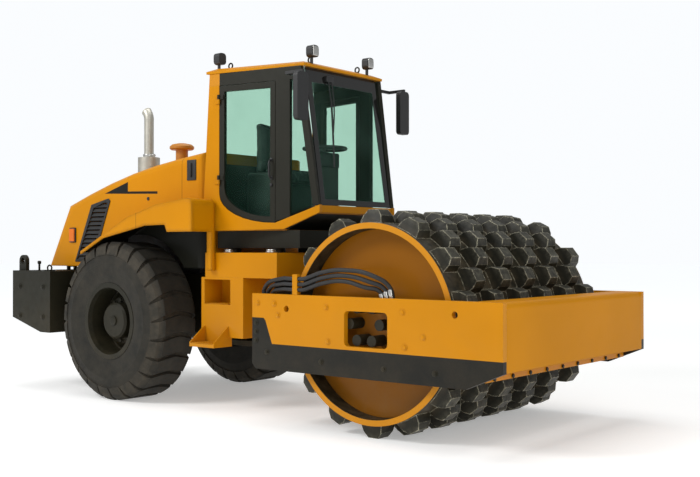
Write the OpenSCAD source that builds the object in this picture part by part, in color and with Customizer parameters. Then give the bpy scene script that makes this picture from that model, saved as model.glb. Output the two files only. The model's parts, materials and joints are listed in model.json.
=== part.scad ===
// Single-drum padfoot soil compactor: a steel drum with feet in a yoke in front, a tractor with
// cab, engine hood and two driven wheels behind, hinged together in the middle.
// Frame: +X forward to the drum, +Y to the machine's left, +Z up, ground at Z = 0,
// origin under the middle of the overall length.

/* [Layout] */
// Steering pivot to the back of the drum frame
link_l = 434; // [410:1:480]
// Steering pivot to rear axle
pivot_to_axle = 1550; // [1500:5:1700]
// Rear axle to the back of the bumper
axle_to_rear = 1580; // [1500:5:1700]

/* [Drum] */
// Length of the drum shell
drum_w = 2100; // [2000:10:2200]
// Diameter of the drum shell without its feet
shell_d = 1523; // [1480:1:1560]
// Thickness of the drum shell
shell_wall = 45; // [30:1:60]
// Height of a foot above the shell
pad_h = 100; // [80:1:110]
// Depth of the drum heads behind the shell's edge
head_recess = 150; // [120:5:180]
// Thickness of a drum head
head_t = 30; // [20:1:40]
// Radius of the trunnion that carries the drum
trunnion_r = 90; // [70:1:110]

/* [Drum frame] */
// Gap between the drum's end and the side plate
plate_gap = 55; // [40:1:80]
// Thickness of a side plate
plate_t = 45; // [30:1:60]
// Gap between the feet's tips and the front beam
beam_gap = 123.5; // [80:0.5:160]
// Gap between the feet's tips and the crossbeam
crossbeam_gap = 68.5; // [50:0.5:90]
// Height of the side plate's lower edge
plate_low = 460; // [420:5:500]
// Height of the side plate's upper edge
plate_top = 1065; // [1030:5:1100]
// Height of the front beam's lower edge
beam_low = 587; // [560:1:620]
// Depth of the front beam, front to back
beam_depth = 230; // [180:5:260]
// Length of the crossbeam at the back, front to back
crossbeam_l = 186; // [160:1:200]
// Radius of the lashing holes in the side plates
lashing_r = 25; // [15:1:35]

/* [Wheels] */
// Radius of a tyre over its lugs
tyre_r = 745; // [720:1:760]
// Width of a tyre
tyre_w = 520; // [480:5:560]
// Radius of the rim where the tyre sits
rim_r = 330; // [310:1:350]
// Wheel centre from the machine's middle plane
wheel_y = 820; // [800:5:850]
// Radius of the axle's spindle in the wheel hub
spindle_r = 90; // [70:1:110]

/* [Tractor] */
// Outer half width between the chassis rails' outer faces
rail_y = 350; // [340:1:370]
// Thickness of a chassis rail
rail_t = 70; // [50:1:75]
// Upper edge of the chassis rails
rail_top = 1180; // [1160:1:1200]
// Width of the bumper
bumper_w = 2100; // [2000:10:2200]
// Front to back length of the bumper
bumper_l = 650; // [600:5:680]
// Upper face of the bumper
bumper_top = 1200; // [1190:1:1215]
// Lower edge of the bumper
bumper_low = 586; // [560:1:640]
// Upper edge of the hood beside the cab
hood_front_z = 2317; // [2280:1:2380]
// Upper edge of the hood at the back
hood_back_z = 1877; // [1820:1:1930]
// Half width of the engine hood
hood_y = 680; // [640:5:690]
// Wall of the engine hood
hood_wall = 18; // [12:1:30]
// Radius of the hole in a towing eye
tow_eye_r = 32; // [20:1:40]

/* [Cab] */
// Half width of the cab at its back wall
cab_back_y = 750; // [700:5:780]
// Half width of the cab at its windscreen
cab_front_y = 530; // [500:5:600]
// Underside of the cab
cab_low = 1585; // [1575:1:1600]
// Upper edge of the cab's walls
cab_top = 2995; // [2900:5:3050]
// Thickness of the cab's walls and doors
cab_wall = 40; // [30:1:50]
// Thickness of the cab's panes
pane_t = 8; // [5:1:12]

/* [Hidden] */
$fn = 64;
running_fit = 0.05;   // radial play of a shaft in its bore
seat_gap = 0.3;       // play between curved faces that only seat
side_play = 5;        // play beside a moving piece

// Reach of the drum frame about the drum
shell_r = shell_d / 2;
tip_r = shell_r + pad_h;
drum_to_front = tip_r + beam_gap + beam_depth;
plate_back = tip_r + crossbeam_gap + crossbeam_l;
pivot_to_drum = plate_back + link_l;

// Stations along the machine
total_l = drum_to_front + pivot_to_drum + pivot_to_axle + axle_to_rear;
front_x = total_l / 2;
drum_x = front_x - drum_to_front;
pivot_x = drum_x - pivot_to_drum;
axle_x = pivot_x - pivot_to_axle;
rear_x = axle_x - axle_to_rear;

// Drum and its frame
drum_z = tip_r;
drum_y = drum_w / 2;
plate_in = drum_y + plate_gap;
plate_out = plate_in + plate_t;
crossbeam_x = drum_x - plate_back;
crossbeam_low = 520;
crossbeam_top = 1000;
swing_z = 780;          // height of the oscillation axis and of the steering cylinders
swing_r = 110;          // oscillation trunnion

// Steering pivot
king_r = 55;
lug_t = 50;
lug_low = 525;
lug_high = 985;
link_r = 105;
eye_x = 30;             // rod eye from the pivot
eye_y = 220;
barrel_x = -570;        // barrel pin from the pivot
barrel_pin_r = 25;
eye_t = 60;
rod_r = 24;
fork_gap = eye_t + 2 * 7;
fork_t = 30;

// Tractor heights
hood_low = 1245;
tank_low = 1170;
tank_top = 1390;
tank_y = cab_back_y;
tyre_top = 2 * tyre_r;

// Colours
yellow = [0.90, 0.58, 0.03];
black = [0.12, 0.12, 0.10];
rubber = [0.09, 0.09, 0.08];
steel = [0.72, 0.72, 0.70];
glass = [0.62, 0.85, 0.78, 0.4];

// Helpers
function arc(cx, cy, r, a0, a1, n = 8) =
    [for (i = [0:n]) [cx + r * cos(a0 + (a1 - a0) * i / n), cy + r * sin(a0 + (a1 - a0) * i / n)]];
function round_rect(x0, z0, x1, z1, r) = concat(
    arc(x1 - r, z1 - r, r, 0, 90, 5), arc(x0 + r, z1 - r, r, 90, 180, 5),
    arc(x0 + r, z0 + r, r, 180, 270, 5), arc(x1 - r, z0 + r, r, 270, 360, 5));

// Extrudes an outline drawn in X and Z from y0 to y1
module slab_y(y0, y1, pts) {
    translate([0, y1, 0]) rotate([90, 0, 0]) linear_extrude(y1 - y0) polygon(pts);
}
// Extrudes an outline drawn in Y and Z from x0 to x1
module slab_x(x0, x1, pts) {
    translate([x0, 0, 0]) rotate([90, 0, 90]) linear_extrude(x1 - x0) polygon(pts);
}
module box(x0, x1, y0, y1, z0, z1) {
    translate([x0, y0, z0]) cube([x1 - x0, y1 - y0, z1 - z0]);
}
module rod_x(x0, x1, y, z, r) {
    translate([x0, y, z]) rotate([0, 90, 0]) cylinder(r = r, h = x1 - x0);
}
module rod_y(y0, y1, x, z, r) {
    translate([x, y0, z]) rotate([-90, 0, 0]) cylinder(r = r, h = y1 - y0);
}
module rod_z(z0, z1, x, y, r) {
    translate([x, y, z0]) cylinder(r = r, h = z1 - z0);
}
module left() { mirror([0, 1, 0]) children(); }
module both() { children(); left() children(); }

// Drum: shell with feet, heads with hubs
pad_rows = 28;
pad_half = 92;          // half a foot's length along the drum, at its root
pad_tip = 62;           // the same at its tip
pad_margin = 28;        // from the end foot to the drum's edge
pad_pitch = (drum_y - pad_half - pad_margin) / 2.5; // between feet along the drum
pad_sink = 12;          // foot's root below the shell's surface
// One foot on top of the shell: a roof-shaped side tapering to a smaller crown
module pad() {
    root = shell_r - pad_sink;
    brow = tip_r - 0.45 * pad_h;
    intersection() {
        slab_y(-100, 100, [[-98, root], [98, root], [82, brow], [46, tip_r], [-46, tip_r], [-82, brow]]);
        translate([-100, 0, 0]) rotate([90, 0, 90]) linear_extrude(200)
            polygon([[-pad_half, root], [pad_half, root], [pad_tip, tip_r], [-pad_tip, tip_r]]);
    }
}
module drum_shell() {
    color(black) translate([drum_x, 0, drum_z]) {
        difference() {
            rod_y(-drum_y, drum_y, 0, 0, shell_r);
            rod_y(-drum_y - 1, drum_y + 1, 0, 0, shell_r - shell_wall);
        }
        for (i = [0:pad_rows - 1]) rotate([0, i * 360 / pad_rows, 0])
            for (y = i % 2 == 0 ? [-2.5:1:2.5] : [-2:1:2]) translate([0, y * pad_pitch, 0]) pad();
    }
}
hub_r = 160;
head_y = drum_y - head_recess;
module drum_heads() {
    color("chocolate") translate([drum_x, 0, drum_z]) both() difference() {
        union() {
            rod_y(-head_y, -head_y + head_t, 0, 0, shell_r - shell_wall - seat_gap);
            rod_y(-head_y, -head_y + 150, 0, 0, hub_r);
        }
        rod_y(-head_y - 1, -head_y + 151, 0, 0, trunnion_r + running_fit);
    }
}
carrier_r = 195;
carrier_t = 25;
buffer_r = 42;
buffers = 6;
carrier_y = head_y + 40;
module drum_carriers() {
    color(rubber) translate([drum_x, 0, drum_z]) both() {
        rod_y(-carrier_y - carrier_t, -carrier_y, 0, 0, carrier_r);
        rod_y(-carrier_y, -head_y + 140, 0, 0, trunnion_r);
        for (i = [0:buffers - 1]) rotate([0, i * 360 / buffers, 0])
            rod_y(-plate_in, -carrier_y - carrier_t, carrier_r - buffer_r - 12, 0, buffer_r);
    }
}

// Drum frame
window = [-155, 250, 694, 959];   // inspection window: x from the axle, z
nose_cut = [300, 125];            // sloping cut at the lower front corner
lash_front = [832, 968];
lash_back = [-743, 952];
module side_plate() {
    outline = [[drum_x - plate_back, plate_low + 40], [drum_x - plate_back + 40, plate_low],
        [front_x - nose_cut[0], plate_low], [front_x, plate_low + nose_cut[1]],
        [front_x, plate_top], [drum_x - plate_back, plate_top]];
    difference() {
        slab_y(-plate_out, -plate_in, outline);
        slab_y(-plate_out - 1, -plate_in + 1,
            round_rect(drum_x + window[0], window[2], drum_x + window[1], window[3], 35));
        for (p = [lash_front, lash_back])
            rod_y(-plate_out - 1, -plate_in + 1, drum_x + p[0], p[1], lashing_r);
    }
}
module side_plate_right() { color(yellow) side_plate(); }
module side_plate_left() { color(yellow) left() side_plate(); }
module front_beam() {
    r = 40;
    x0 = front_x - beam_depth;
    color(yellow) slab_y(-plate_in, plate_in, concat([[x0, beam_low], [front_x, beam_low]],
        arc(front_x - r, plate_top - r, r, 0, 90, 6), [[x0, plate_top]]));
}
module crossbeam() {
    color(yellow) difference() {
        box(crossbeam_x, crossbeam_x + crossbeam_l, -plate_in, plate_in, crossbeam_low, crossbeam_top);
        rod_x(crossbeam_x - 1, crossbeam_x + crossbeam_l + 1, 0, swing_z, swing_r + running_fit);
    }
}
scraper_t = 60;
module scrapers() {
    color(yellow) {
        box(front_x - 220, front_x - 220 + scraper_t, -plate_in, plate_in, beam_low - 75, beam_low);
        box(crossbeam_x + scraper_t, crossbeam_x + 2 * scraper_t, -plate_in, plate_in,
            crossbeam_low - scraper_t, crossbeam_low);
    }
}
clamp_x = drum_x - 657;
clamp_h = 160;
plate_mid = plate_in + plate_t / 2;
hose_r = 17;
hose_gap = 42;          // between hoses, up the post
hose_low = plate_top + 40;
hose_in = plate_in - 29;         // where a hose runs down between plate and drum
// The post is bored for the three hoses
module hose_clamp() {
    color(yellow) difference() {
        box(clamp_x - 25, clamp_x + 25, -plate_out + 2, -plate_in - 2, plate_top, plate_top + clamp_h);
        for (i = [0:2])
            rod_x(clamp_x - 26, clamp_x + 26, -plate_mid, hose_low + i * hose_gap, hose_r + seat_gap);
    }
}
// A hose rises from the crossbeam, passes its post in an arch and dives behind the plate
function hose_marks(i) = let (z = hose_low + i * hose_gap, back = crossbeam_x + 150 - i * hose_gap,
    front = drum_x + 165 + i * hose_gap, top = crossbeam_top + seat_gap) [
    for (h = [0, 25, 55 + i * 22]) [back, -hose_in, top + h],
    [clamp_x - 150, -plate_mid + 10, z],
    for (x = [-70, -40, 40, 70]) [clamp_x + x, -plate_mid, z],
    [clamp_x + 270, -plate_mid, z + 55],
    [drum_x - 173, -plate_mid, z + 75],
    [front - 150, -plate_mid + 8, z + 35],
    [front - 25, -hose_in - 6, plate_top + 38 + i * 18],
    [front, -hose_in, plate_top - 60]];
function bend(a, b, c, d, t) = (2 * b + (c - a) * t + (2 * a - 5 * b + 4 * c - d) * pow(t, 2)
    + (3 * b - a - 3 * c + d) * pow(t, 3)) / 2;
function smooth(p, n = 2) = concat([for (k = [0:len(p) - 2]) for (j = [0:n - 1])
    bend(p[max(k - 1, 0)], p[k], p[k + 1], p[min(k + 2, len(p) - 1)], j / n)], [p[len(p) - 1]]);
function heading(p, k) = let (d = p[min(k + 1, len(p) - 1)] - p[max(k - 1, 0)]) d / norm(d);
module tube(p, r, n = 10) {
    points = [for (k = [0:len(p) - 1])
        let (d = heading(p, k), u = cross(d, [0, 1, 0]), v = u / norm(u), w = cross(v, d))
        for (j = [0:n - 1]) p[k] + r * (cos(j * 360 / n) * v + sin(j * 360 / n) * w)];
    last = (len(p) - 1) * n;
    sides = [for (k = [0:len(p) - 2]) for (j = [0:n - 1]) let (a = k * n + j, b = k * n + (j + 1) % n)
        for (f = [[a, a + n, b + n], [a, b + n, b]]) f];
    ends = [for (j = [1:n - 2]) for (f = [[0, j, j + 1], [last, last + j + 1, last + j]]) f];
    polyhedron(points, concat(sides, ends));
}
module drum_hoses() {
    color(rubber) for (i = [0:2]) tube(smooth(hose_marks(i)), hose_r);
}

// Steering pivot piece between tractor and drum frame
flange_x = crossbeam_x - 9;
module centre_link() {
    color(black) difference() {
        union() {
            rod_z(lug_low + lug_t + side_play, lug_high - side_play, pivot_x, 0, link_r);
            box(pivot_x + 60, flange_x - 30, -130, 130, swing_z - 130, swing_z + 130);
            rod_x(flange_x - 40, flange_x, 0, swing_z, 200);
            rod_x(flange_x - 1, crossbeam_x + crossbeam_l, 0, swing_z, swing_r);
            for (s = [0, 1]) translate([0, 0, s * (fork_gap + fork_t)]) steer_fork();
        }
        rod_z(lug_low, lug_high + lug_t, pivot_x, 0, king_r + running_fit);
    }
}
module steer_fork() {
    z0 = swing_z - fork_gap / 2 - fork_t;
    box(pivot_x + eye_x - 55, pivot_x + eye_x + 55, -eye_y, eye_y, z0, z0 + fork_t);
    both() rod_z(z0, z0 + fork_t, pivot_x + eye_x, -eye_y, 55);
}
barrel_l = 370;
neck_l = 60;            // between the barrel's pin and its tube
barrel_r = 45;
module steer_barrel() {
    translate([pivot_x, 0, 0]) difference() {
        union() {
            rod_x(barrel_x + neck_l, barrel_x + barrel_l, -eye_y, swing_z, barrel_r);
            rod_z(swing_z - eye_t / 2, swing_z + eye_t / 2, barrel_x, -eye_y, barrel_r);
            box(barrel_x + neck_l / 2, barrel_x + neck_l + 5, -eye_y - 28, -eye_y + 28,
                swing_z - eye_t / 2 + 3, swing_z + eye_t / 2 - 3);
        }
        rod_z(swing_z - eye_t, swing_z + eye_t, barrel_x, -eye_y, barrel_pin_r + running_fit);
        rod_x(barrel_x + neck_l + 20, barrel_x + barrel_l + 1, -eye_y, swing_z, rod_r + running_fit);
    }
}
module steer_rod() {
    translate([pivot_x, 0, 0]) {
        rod_x(barrel_x + 210, eye_x - 20, -eye_y, swing_z, rod_r);
        rod_z(swing_z - eye_t / 2, swing_z + eye_t / 2, eye_x, -eye_y, barrel_r);
    }
}
module steer_barrel_right() { color(yellow) steer_barrel(); }
module steer_barrel_left() { color(yellow) left() steer_barrel(); }
module steer_rod_right() { color(steel) steer_rod(); }
module steer_rod_left() { color(steel) left() steer_rod(); }

// Tractor frame
rail_low = 620;
rail_front = pivot_x - 120;
bumper_front = rear_x + bumper_l;
axle_arch = 150;
bumper_cut = [490, 134];         // sloping cut at the lower back edge
hood_back = rear_x + 80;
hood_pin_x = hood_back - 25;     // hinge the hood tilts about
hood_pin_r = 10;
hood_knuckle_r = 18;
hood_hinge = [300, 335, 385, 420];
module rear_chassis() {
    rail = [[bumper_front, rail_low], [axle_x - axle_arch, rail_low], [axle_x - axle_arch, tyre_r + axle_arch],
        [axle_x + axle_arch, tyre_r + axle_arch], [axle_x + axle_arch, rail_low], [rail_front, rail_low],
        [rail_front, rail_top], [bumper_front, rail_top]];
    color(black) {
        both() slab_y(-rail_y, -rail_y + rail_t, rail);
        box(bumper_front, pivot_x - 700, -rail_y + 10, rail_y - 10, rail_top - 60, rail_top);
        box(pivot_x - 700, pivot_x - 660, -rail_y + 10, rail_y - 10, rail_low, rail_top);
        for (z = [lug_low, lug_high]) hitch_plate(z);
        for (z = [swing_z - eye_t / 2 - 32, swing_z + eye_t / 2 + 2])
            box(pivot_x - 690, pivot_x + barrel_x + barrel_r, -rail_y + 10, rail_y - 10, z, z + 30);
        rod_z(lug_low, lug_high + lug_t, pivot_x, 0, king_r);
        both() rod_z(swing_z - eye_t / 2 - 10, swing_z + eye_t / 2 + 10,
            pivot_x + barrel_x, -eye_y, barrel_pin_r);
    }
}
module hitch_plate(z) {
    translate([0, 0, z]) linear_extrude(lug_t) polygon(concat(
        [[pivot_x - 690, -rail_y + 10], [rail_front, -rail_y + 10]],
        arc(pivot_x, 0, link_r + 20, -70, 70, 10),
        [[rail_front, rail_y - 10], [pivot_x - 690, rail_y - 10]]));
}
module rear_bumper() {
    y = bumper_w / 2;
    eye_x0 = rear_x + 70;
    color(black) {
        slab_y(-y, y, [[rear_x, bumper_low + bumper_cut[1]], [rear_x + bumper_cut[0], bumper_low],
            [bumper_front, bumper_low], [bumper_front, bumper_top], [rear_x, bumper_top]]);
        both() {
            rod_y(-hood_hinge[3], -hood_hinge[0], hood_pin_x, hood_low, hood_pin_r);
            for (k = [0, 2]) {
                rod_y(-hood_hinge[k + 1], -hood_hinge[k], hood_pin_x, hood_low, hood_knuckle_r);
                box(hood_pin_x - 12, hood_pin_x + 12, -hood_hinge[k + 1], -hood_hinge[k],
                    bumper_top - 1, hood_low);
            }
        }
        both() difference() {
            slab_y(-y + 70, -y + 110, concat([[eye_x0 - 60, bumper_top - 1], [eye_x0 + 60, bumper_top - 1]],
                arc(eye_x0, bumper_top + 100, 60, 0, 180, 10)));
            rod_y(-y + 60, -y + 120, eye_x0, bumper_top + 100, tow_eye_r);
        }
    }
}
module engine_block() {
    color("dimgray") box(axle_x - 650, axle_x + 450, -300, 300, rail_top, 1750);
}
module rear_axle() {
    z = tyre_r;
    color(black) {
        rod_y(-wheel_y + 40, wheel_y - 40, axle_x, z, 130);
        both() rod_y(-wheel_y - 110, -wheel_y + 41, axle_x, z, spindle_r);
        translate([axle_x, 0, z]) sphere(r = 230);
        both() box(axle_x - axle_arch + 10, axle_x + axle_arch - 10, -rail_y, -rail_y + rail_t,
            z, z + axle_arch);
    }
}

// Wheels
rim_half = 216;
rim_lip = 30;            // rise of the rim's outer lip
module rim() {
    dish = [[170, 30], [170, -150], [150, -170], [0, -170], [0, -120], [spindle_r + running_fit, -120],
        [spindle_r + running_fit, 30]];
    disc = [[169, -70], [215, -70], [rim_r - 40, 0], [rim_r - 24, 0], [rim_r - 24, 30], [rim_r - 48, 30],
        [169, -40]];
    barrel = [[rim_r, -rim_half + 40], [rim_r + rim_lip, -rim_half], [rim_r + rim_lip, -rim_half - 14],
        [rim_r - 15, -rim_half - 14],
        [rim_r - 25, -rim_half + 30], [rim_r - 25, rim_half], [rim_r, rim_half]];
    color(black) translate([axle_x, -wheel_y, tyre_r]) rotate([-90, 0, 0]) {
        rotate_extrude() polygon(dish);
        rotate_extrude() polygon(disc);
        rotate_extrude() polygon(barrel);
    }
}
lugs = 24;
lug_h = 30;
lug_l = 148;            // lug along the tread
lug_sweep = 70;         // lead of a lug's end over its middle
function tread(h, drop) = [[tyre_r - 120, -h + 10 + drop / 3], [tyre_r - 40 - drop, -h + 40 + drop / 3],
    [tyre_r - drop, -h + 85], [tyre_r - drop, h - 85], [tyre_r - 40 - drop, h - 40 - drop / 3],
    [tyre_r - 120, h - 10 - drop / 3]];
module tyre() {
    h = tyre_w / 2;
    lip = rim_r + rim_lip + seat_gap;
    bead = [[rim_r + seat_gap, -rim_half + 40], [lip, -rim_half], [lip, -rim_half - 9],
        [(rim_r + tyre_r) / 2, -h]];
    bead_far = [for (i = [3:-1:0]) [bead[i][0], -bead[i][1]]];
    wave = [for (i = [-3:3]) [lug_sweep * pow(abs(i) / 3, 1.4), i * h / 3]];
    color(rubber) translate([axle_x, -wheel_y, tyre_r]) rotate([-90, 0, 0]) {
        rotate_extrude() polygon(concat(bead, tread(h, lug_h), bead_far));
        intersection() {
            rotate_extrude() polygon(concat(tread(h, 0), [[tyre_r - 130, h - 60], [tyre_r - 130, -h + 60]]));
            union() for (i = [0:lugs - 1]) rotate([0, 0, i * 360 / lugs]) translate([tyre_r - 140, 0, 0])
                rotate([90, 0, 90]) linear_extrude(150)
                    polygon(concat([for (p = wave) [p[0] - lug_l / 2, p[1]]],
                    [for (i = [6:-1:0]) [wave[i][0] + lug_l / 2, wave[i][1]]]));
        }
    }
}
module tyre_right() { tyre(); }
module tyre_left() { left() tyre(); }
module rim_right() { rim(); }
module rim_left() { left() rim(); }

// Tractor body
fender_out = wheel_y + 220;
fender_t = 14;
fender_in = cab_back_y + 8;      // inner edge beside the cab
fender_front = axle_x + 1135;    // stays behind the open door
fender_round = 70;
fender_rise = 380;               // top of the fender above the tyre
function fender_top() = concat(
    arc(fender_front - fender_round, tyre_top + fender_rise - fender_round, fender_round, 0, 90, 4),
    [[axle_x + 660, tyre_top + 335], [axle_x + 260, tyre_top + 230], [axle_x - 100, tyre_top + 70],
    [axle_x - 450, tyre_top - 90]]);
function fender_low() = [[axle_x - 450, tyre_top - 120], [axle_x - 100, tyre_top + 35],
    [axle_x + 260, tyre_top + 100], [axle_x + 500, tyre_top + 145], [axle_x + 780, tyre_top + 150],
    [axle_x + 810, tyre_top + 85], [fender_front, tyre_top + 85]];
module fender() {
    color(yellow) difference() {
        union() {
            slab_y(-fender_out, -fender_in, concat(fender_top(), fender_low()));
            intersection() {
                slab_y(-fender_in - 1, -hood_y - 8, concat(fender_top(), fender_low()));
                box(axle_x - 500, cab_back - 10, -fender_out, 0, tyre_top - 190, tyre_top + 410);
            }
        }
        slab_y(-fender_out + fender_t, -hood_y, concat(
            [for (p = fender_top()) [p[0] - fender_t, p[1] - fender_t]],
            [[axle_x - 470, tyre_top - 290], [fender_front - fender_t, tyre_top - 290]]));
    }
    color(yellow) {
        box(fender_front - 60, fender_front, -fender_in - 45, -fender_in, tank_low + 60, tyre_top + 110);
        box(fender_front - 60, fender_front, -fender_in - 1, -tank_y, tank_low + 60, tank_low + 160);
    }
}
module fender_right() { fender(); }
module fender_left() { left() fender(); }
module tank() {
    color(yellow) box(pivot_x - 550, pivot_x + 330, -tank_y, -rail_y, tank_low, tank_top);
}
module tank_right() { tank(); }
module tank_left() { left() tank(); }
// Step box under the tank, with a foothold and a basket step
step_x0 = pivot_x - 560;
step_x1 = pivot_x - 250;
step_box_low = 640;
step_low = 560;
step_t = 30;
step_out = tank_y + 180;
basket_t = 12;
basket_top = 740;
foothold_low = 930;
foothold_top = tank_low - 20;
foothold_d = 220;
module steps() {
    color(yellow) difference() {
        union() {
            box(step_x0 - 40, step_x1 + 180, -tank_y, -rail_y, step_box_low, tank_low);
            box(step_x0, step_x1, -step_out, -tank_y, step_low, step_low + step_t);
            box(step_x0, step_x1, -tank_y, -tank_y + 40, step_low, step_box_low);
            for (x = [step_x0, step_x1 - basket_t])
                slab_x(x, x + basket_t, [[-tank_y, step_low], [-tank_y, basket_top],
                    [-step_out, step_low + step_t + 10], [-step_out, step_low]]);
        }
        box(step_x0, step_x1 + 20, -tank_y - 1, -tank_y + foothold_d, foothold_low, foothold_top);
    }
}
module steps_right() { steps(); }
module steps_left() { left() steps(); }

// Engine hood
arch_gap = 70;                   // room between tyre and wheel arch
hood_front = pivot_x - 650;
hood_slope = 335;                // lean of the hood's back wall
hood_crown = 70;                 // rise of the hood's upper line
function hood_line(inset = 0) = concat(
    [[hood_front - inset, hood_low], [hood_front - inset, hood_front_z - inset]],
    [for (i = [1:5]) let (t = i / 6) [hood_front + (hood_back + hood_slope - hood_front) * t,
        hood_front_z + (hood_back_z - hood_front_z) * t + hood_crown * sin(180 * t) - inset]],
    [[hood_back + hood_slope + inset, hood_back_z - inset], [hood_back + inset, hood_low]]);
hood_round = 70;
// Closed form of the hood, set in by d, with its upper edges rounded
module hood_form(d) {
    hull() for (a = [0, 30, 60, 90])
        let (y = hood_y - d - hood_round * (1 - cos(a)))
            slab_y(-y, y, hood_line(d + hood_round * (1 - sin(a))));
}
grille_frame = 26;
grille_low = tyre_top - 198;     // lower edge of the side grille, kept clear of the wheel arch
grille_step = 93;                // rise of its front lower corner
function grille(inset = 0) = let (a = inset, b = inset * 1.3)
    [[rear_x + 560 + b, grille_low + a], [rear_x + 800 - b, grille_low + a],
    [rear_x + 905 - b, grille_low + grille_step + a],
    [rear_x + 1130 - b, 1900 - b], [rear_x + 1100 - b, 1925 - a], [rear_x + 830 + b, 1868 - b]];
module hood_shell() {
    color(yellow) {
        difference() {
            hood_form(0);
            translate([0, 0, -1]) hood_form(hood_wall);
            both() rod_y(-hood_y - 1, -hood_y + hood_wall + 1, axle_x, tyre_r, tyre_r + arch_gap);
            both() slab_y(-hood_y - 1, -hood_y + hood_wall + 1, grille(grille_frame / 2));
        }
        both() hood_knuckle();
    }
}
module hood_knuckle() {
    y0 = hood_hinge[1] + seat_gap;
    y1 = hood_hinge[2] - seat_gap;
    difference() {
        union() {
            rod_y(-y1, -y0, hood_pin_x, hood_low, hood_knuckle_r);
            box(hood_pin_x + hood_pin_r + 2, hood_back + hood_wall - 4, -y1 + 4, -y0 - 4,
                hood_low, hood_low + 14);
        }
        rod_y(-y1 - 1, -y0 + 1, hood_pin_x, hood_low, hood_pin_r + running_fit);
    }
}
slat_pitch = 44;
module hood_grilles() {
    color(black) both() {
        difference() {
            slab_y(-hood_y - 8, -hood_y, grille());
            slab_y(-hood_y - 9, -hood_y + 1, grille(grille_frame));
        }
        intersection() {
            slab_y(-hood_y - 20, -hood_y + 20, grille(grille_frame - 2));
            union() for (i = [0:14]) translate([0, -hood_y, grille_low + 18 + i * slat_pitch])
                rotate([-25, 0, 0]) translate([rear_x + 500, -6, 0]) cube([700, 6, 34]);
        }
    }
}
exhaust_r = 50;
exhaust_wall = 4;
exhaust_top = 2790;
exhaust_bend = 130;              // radius of the bend at the pipe's end
// One length of the pipe: a straight with a bend to the back
module exhaust_pipe(r) {
    rod_z(hood_back_z, exhaust_top, 0, 0, r);
    translate([-exhaust_bend, 0, exhaust_top]) rotate([90, 0, 0]) rotate_extrude(angle = 45)
        translate([exhaust_bend, 0]) circle(r = r);
}
module exhaust_stack() {
    color(steel) difference() {
        translate([rear_x + 900, 0, 0]) difference() {
            union() {
                rod_z(hood_back_z, hood_front_z + 73, 0, 0, 115);
                exhaust_pipe(exhaust_r);
            }
            translate([0, 0, 0.5]) exhaust_pipe(exhaust_r - exhaust_wall);
        }
        hood_form(0);
    }
}
cleaner_r = 125;
cleaner_z = 2440;
module air_cleaner() {
    cap = [[0, 0], [cleaner_r - 15, 0], [cleaner_r, 12], [cleaner_r, 34], [cleaner_r - 25, 56],
        [cleaner_r / 3, 68], [0, 68]];
    color("orange") difference() {
        translate([rear_x + 1420, 0, 0]) {
            rod_z(hood_back_z, cleaner_z + 1, 0, 0, cleaner_r / 2);
            translate([0, 0, cleaner_z]) rotate_extrude() polygon(cap);
        }
        hood_form(0);
    }
}
module tail_lamps() {
    color("red") both() box(rear_x + 480, rear_x + 560, -hood_y - 25, -hood_y, 1500, 1630);
}

// Cab: walls taper inwards to the windscreen
cab_back = pivot_x - 590;
cab_front = pivot_x + 620;
cab_lean_front = 190;
cab_lean_back = 80;
taper = atan2(cab_back_y - cab_front_y, cab_front - cab_back);
wall_l = (cab_front - cab_back) / cos(taper);
sill_front = 1800;
back_sill = 2200;                // lower edge of the rear window
toe_u = 870;                     // where the underside starts to rise to the windscreen
toe_x = cab_back + toe_u * cos(taper);
toe_z = 1735;
floor_t = 50;
door_u0 = 190;
door_u1 = 780;
post_u = 930;                    // front edge of the door post
pane_d = 16;                     // a pane behind the wall's outer face
header_z = 2885;
// Draws an outline of the right wall, along the wall and up, through the given depth of the wall
module on_wall(d0, d1, pts) {
    translate([cab_back, -cab_back_y, 0]) rotate([0, 0, taper]) slab_y(d0, d1, pts);
}
function door_curve() = [for (i = [0:8]) let (t = i / 8) [door_u0 + (door_u1 - door_u0) * (1 - cos(90 * t)),
    1655 + 265 * (1 - sin(90 * t))]];
function wall_y(x, d) = cab_back_y - (x - cab_back) * tan(taper) - d / cos(taper);
function wall_front(z) = wall_l - cab_lean_front * (z - toe_z) / (cab_top - toe_z);
function wall_back(z) = cab_lean_back * (z - cab_low) / (cab_top - cab_low);
module cab_tub() {
    x0 = cab_back + 20;
    x1 = cab_front - 12;
    plan = [[x0, -wall_y(x0, 20)], [x1, -wall_y(x1, 20)], [x1, wall_y(x1, 20)], [x0, wall_y(x0, 20)]];
    color(yellow) {
        both() on_wall(0, cab_wall, concat([[0, cab_low], [toe_u, cab_low + 10], [wall_l, toe_z],
            [wall_l, sill_front], [door_u1, 1655 - side_play]],
            [for (i = [8:-1:0]) door_curve()[i] - [side_play, side_play]],
            [[door_u0 - side_play, header_z], [wall_back(header_z), header_z]]));
        both() for (z = hinge_zs) hinge_fixed(z);
        intersection() {
            translate([0, 0, cab_low - 1]) linear_extrude(sill_front - cab_low) polygon(plan);
            slab_y(-cab_back_y, cab_back_y, [[x0, cab_low], [toe_x, cab_low], [x1, toe_z], [x1, sill_front - 5],
                [x1 - floor_t, sill_front - 5], [x1 - floor_t, toe_z + floor_t / 2], [toe_x, cab_low + floor_t],
                [x0, cab_low + floor_t]]);
        }
        slab_y(-wall_y(cab_back, 20), wall_y(cab_back, 20), [[cab_back + 8, cab_low + 5],
            [cab_back + 48, cab_low + 5], [cab_back + 78, back_sill], [cab_back + 42, back_sill]]);
    }
}
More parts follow.
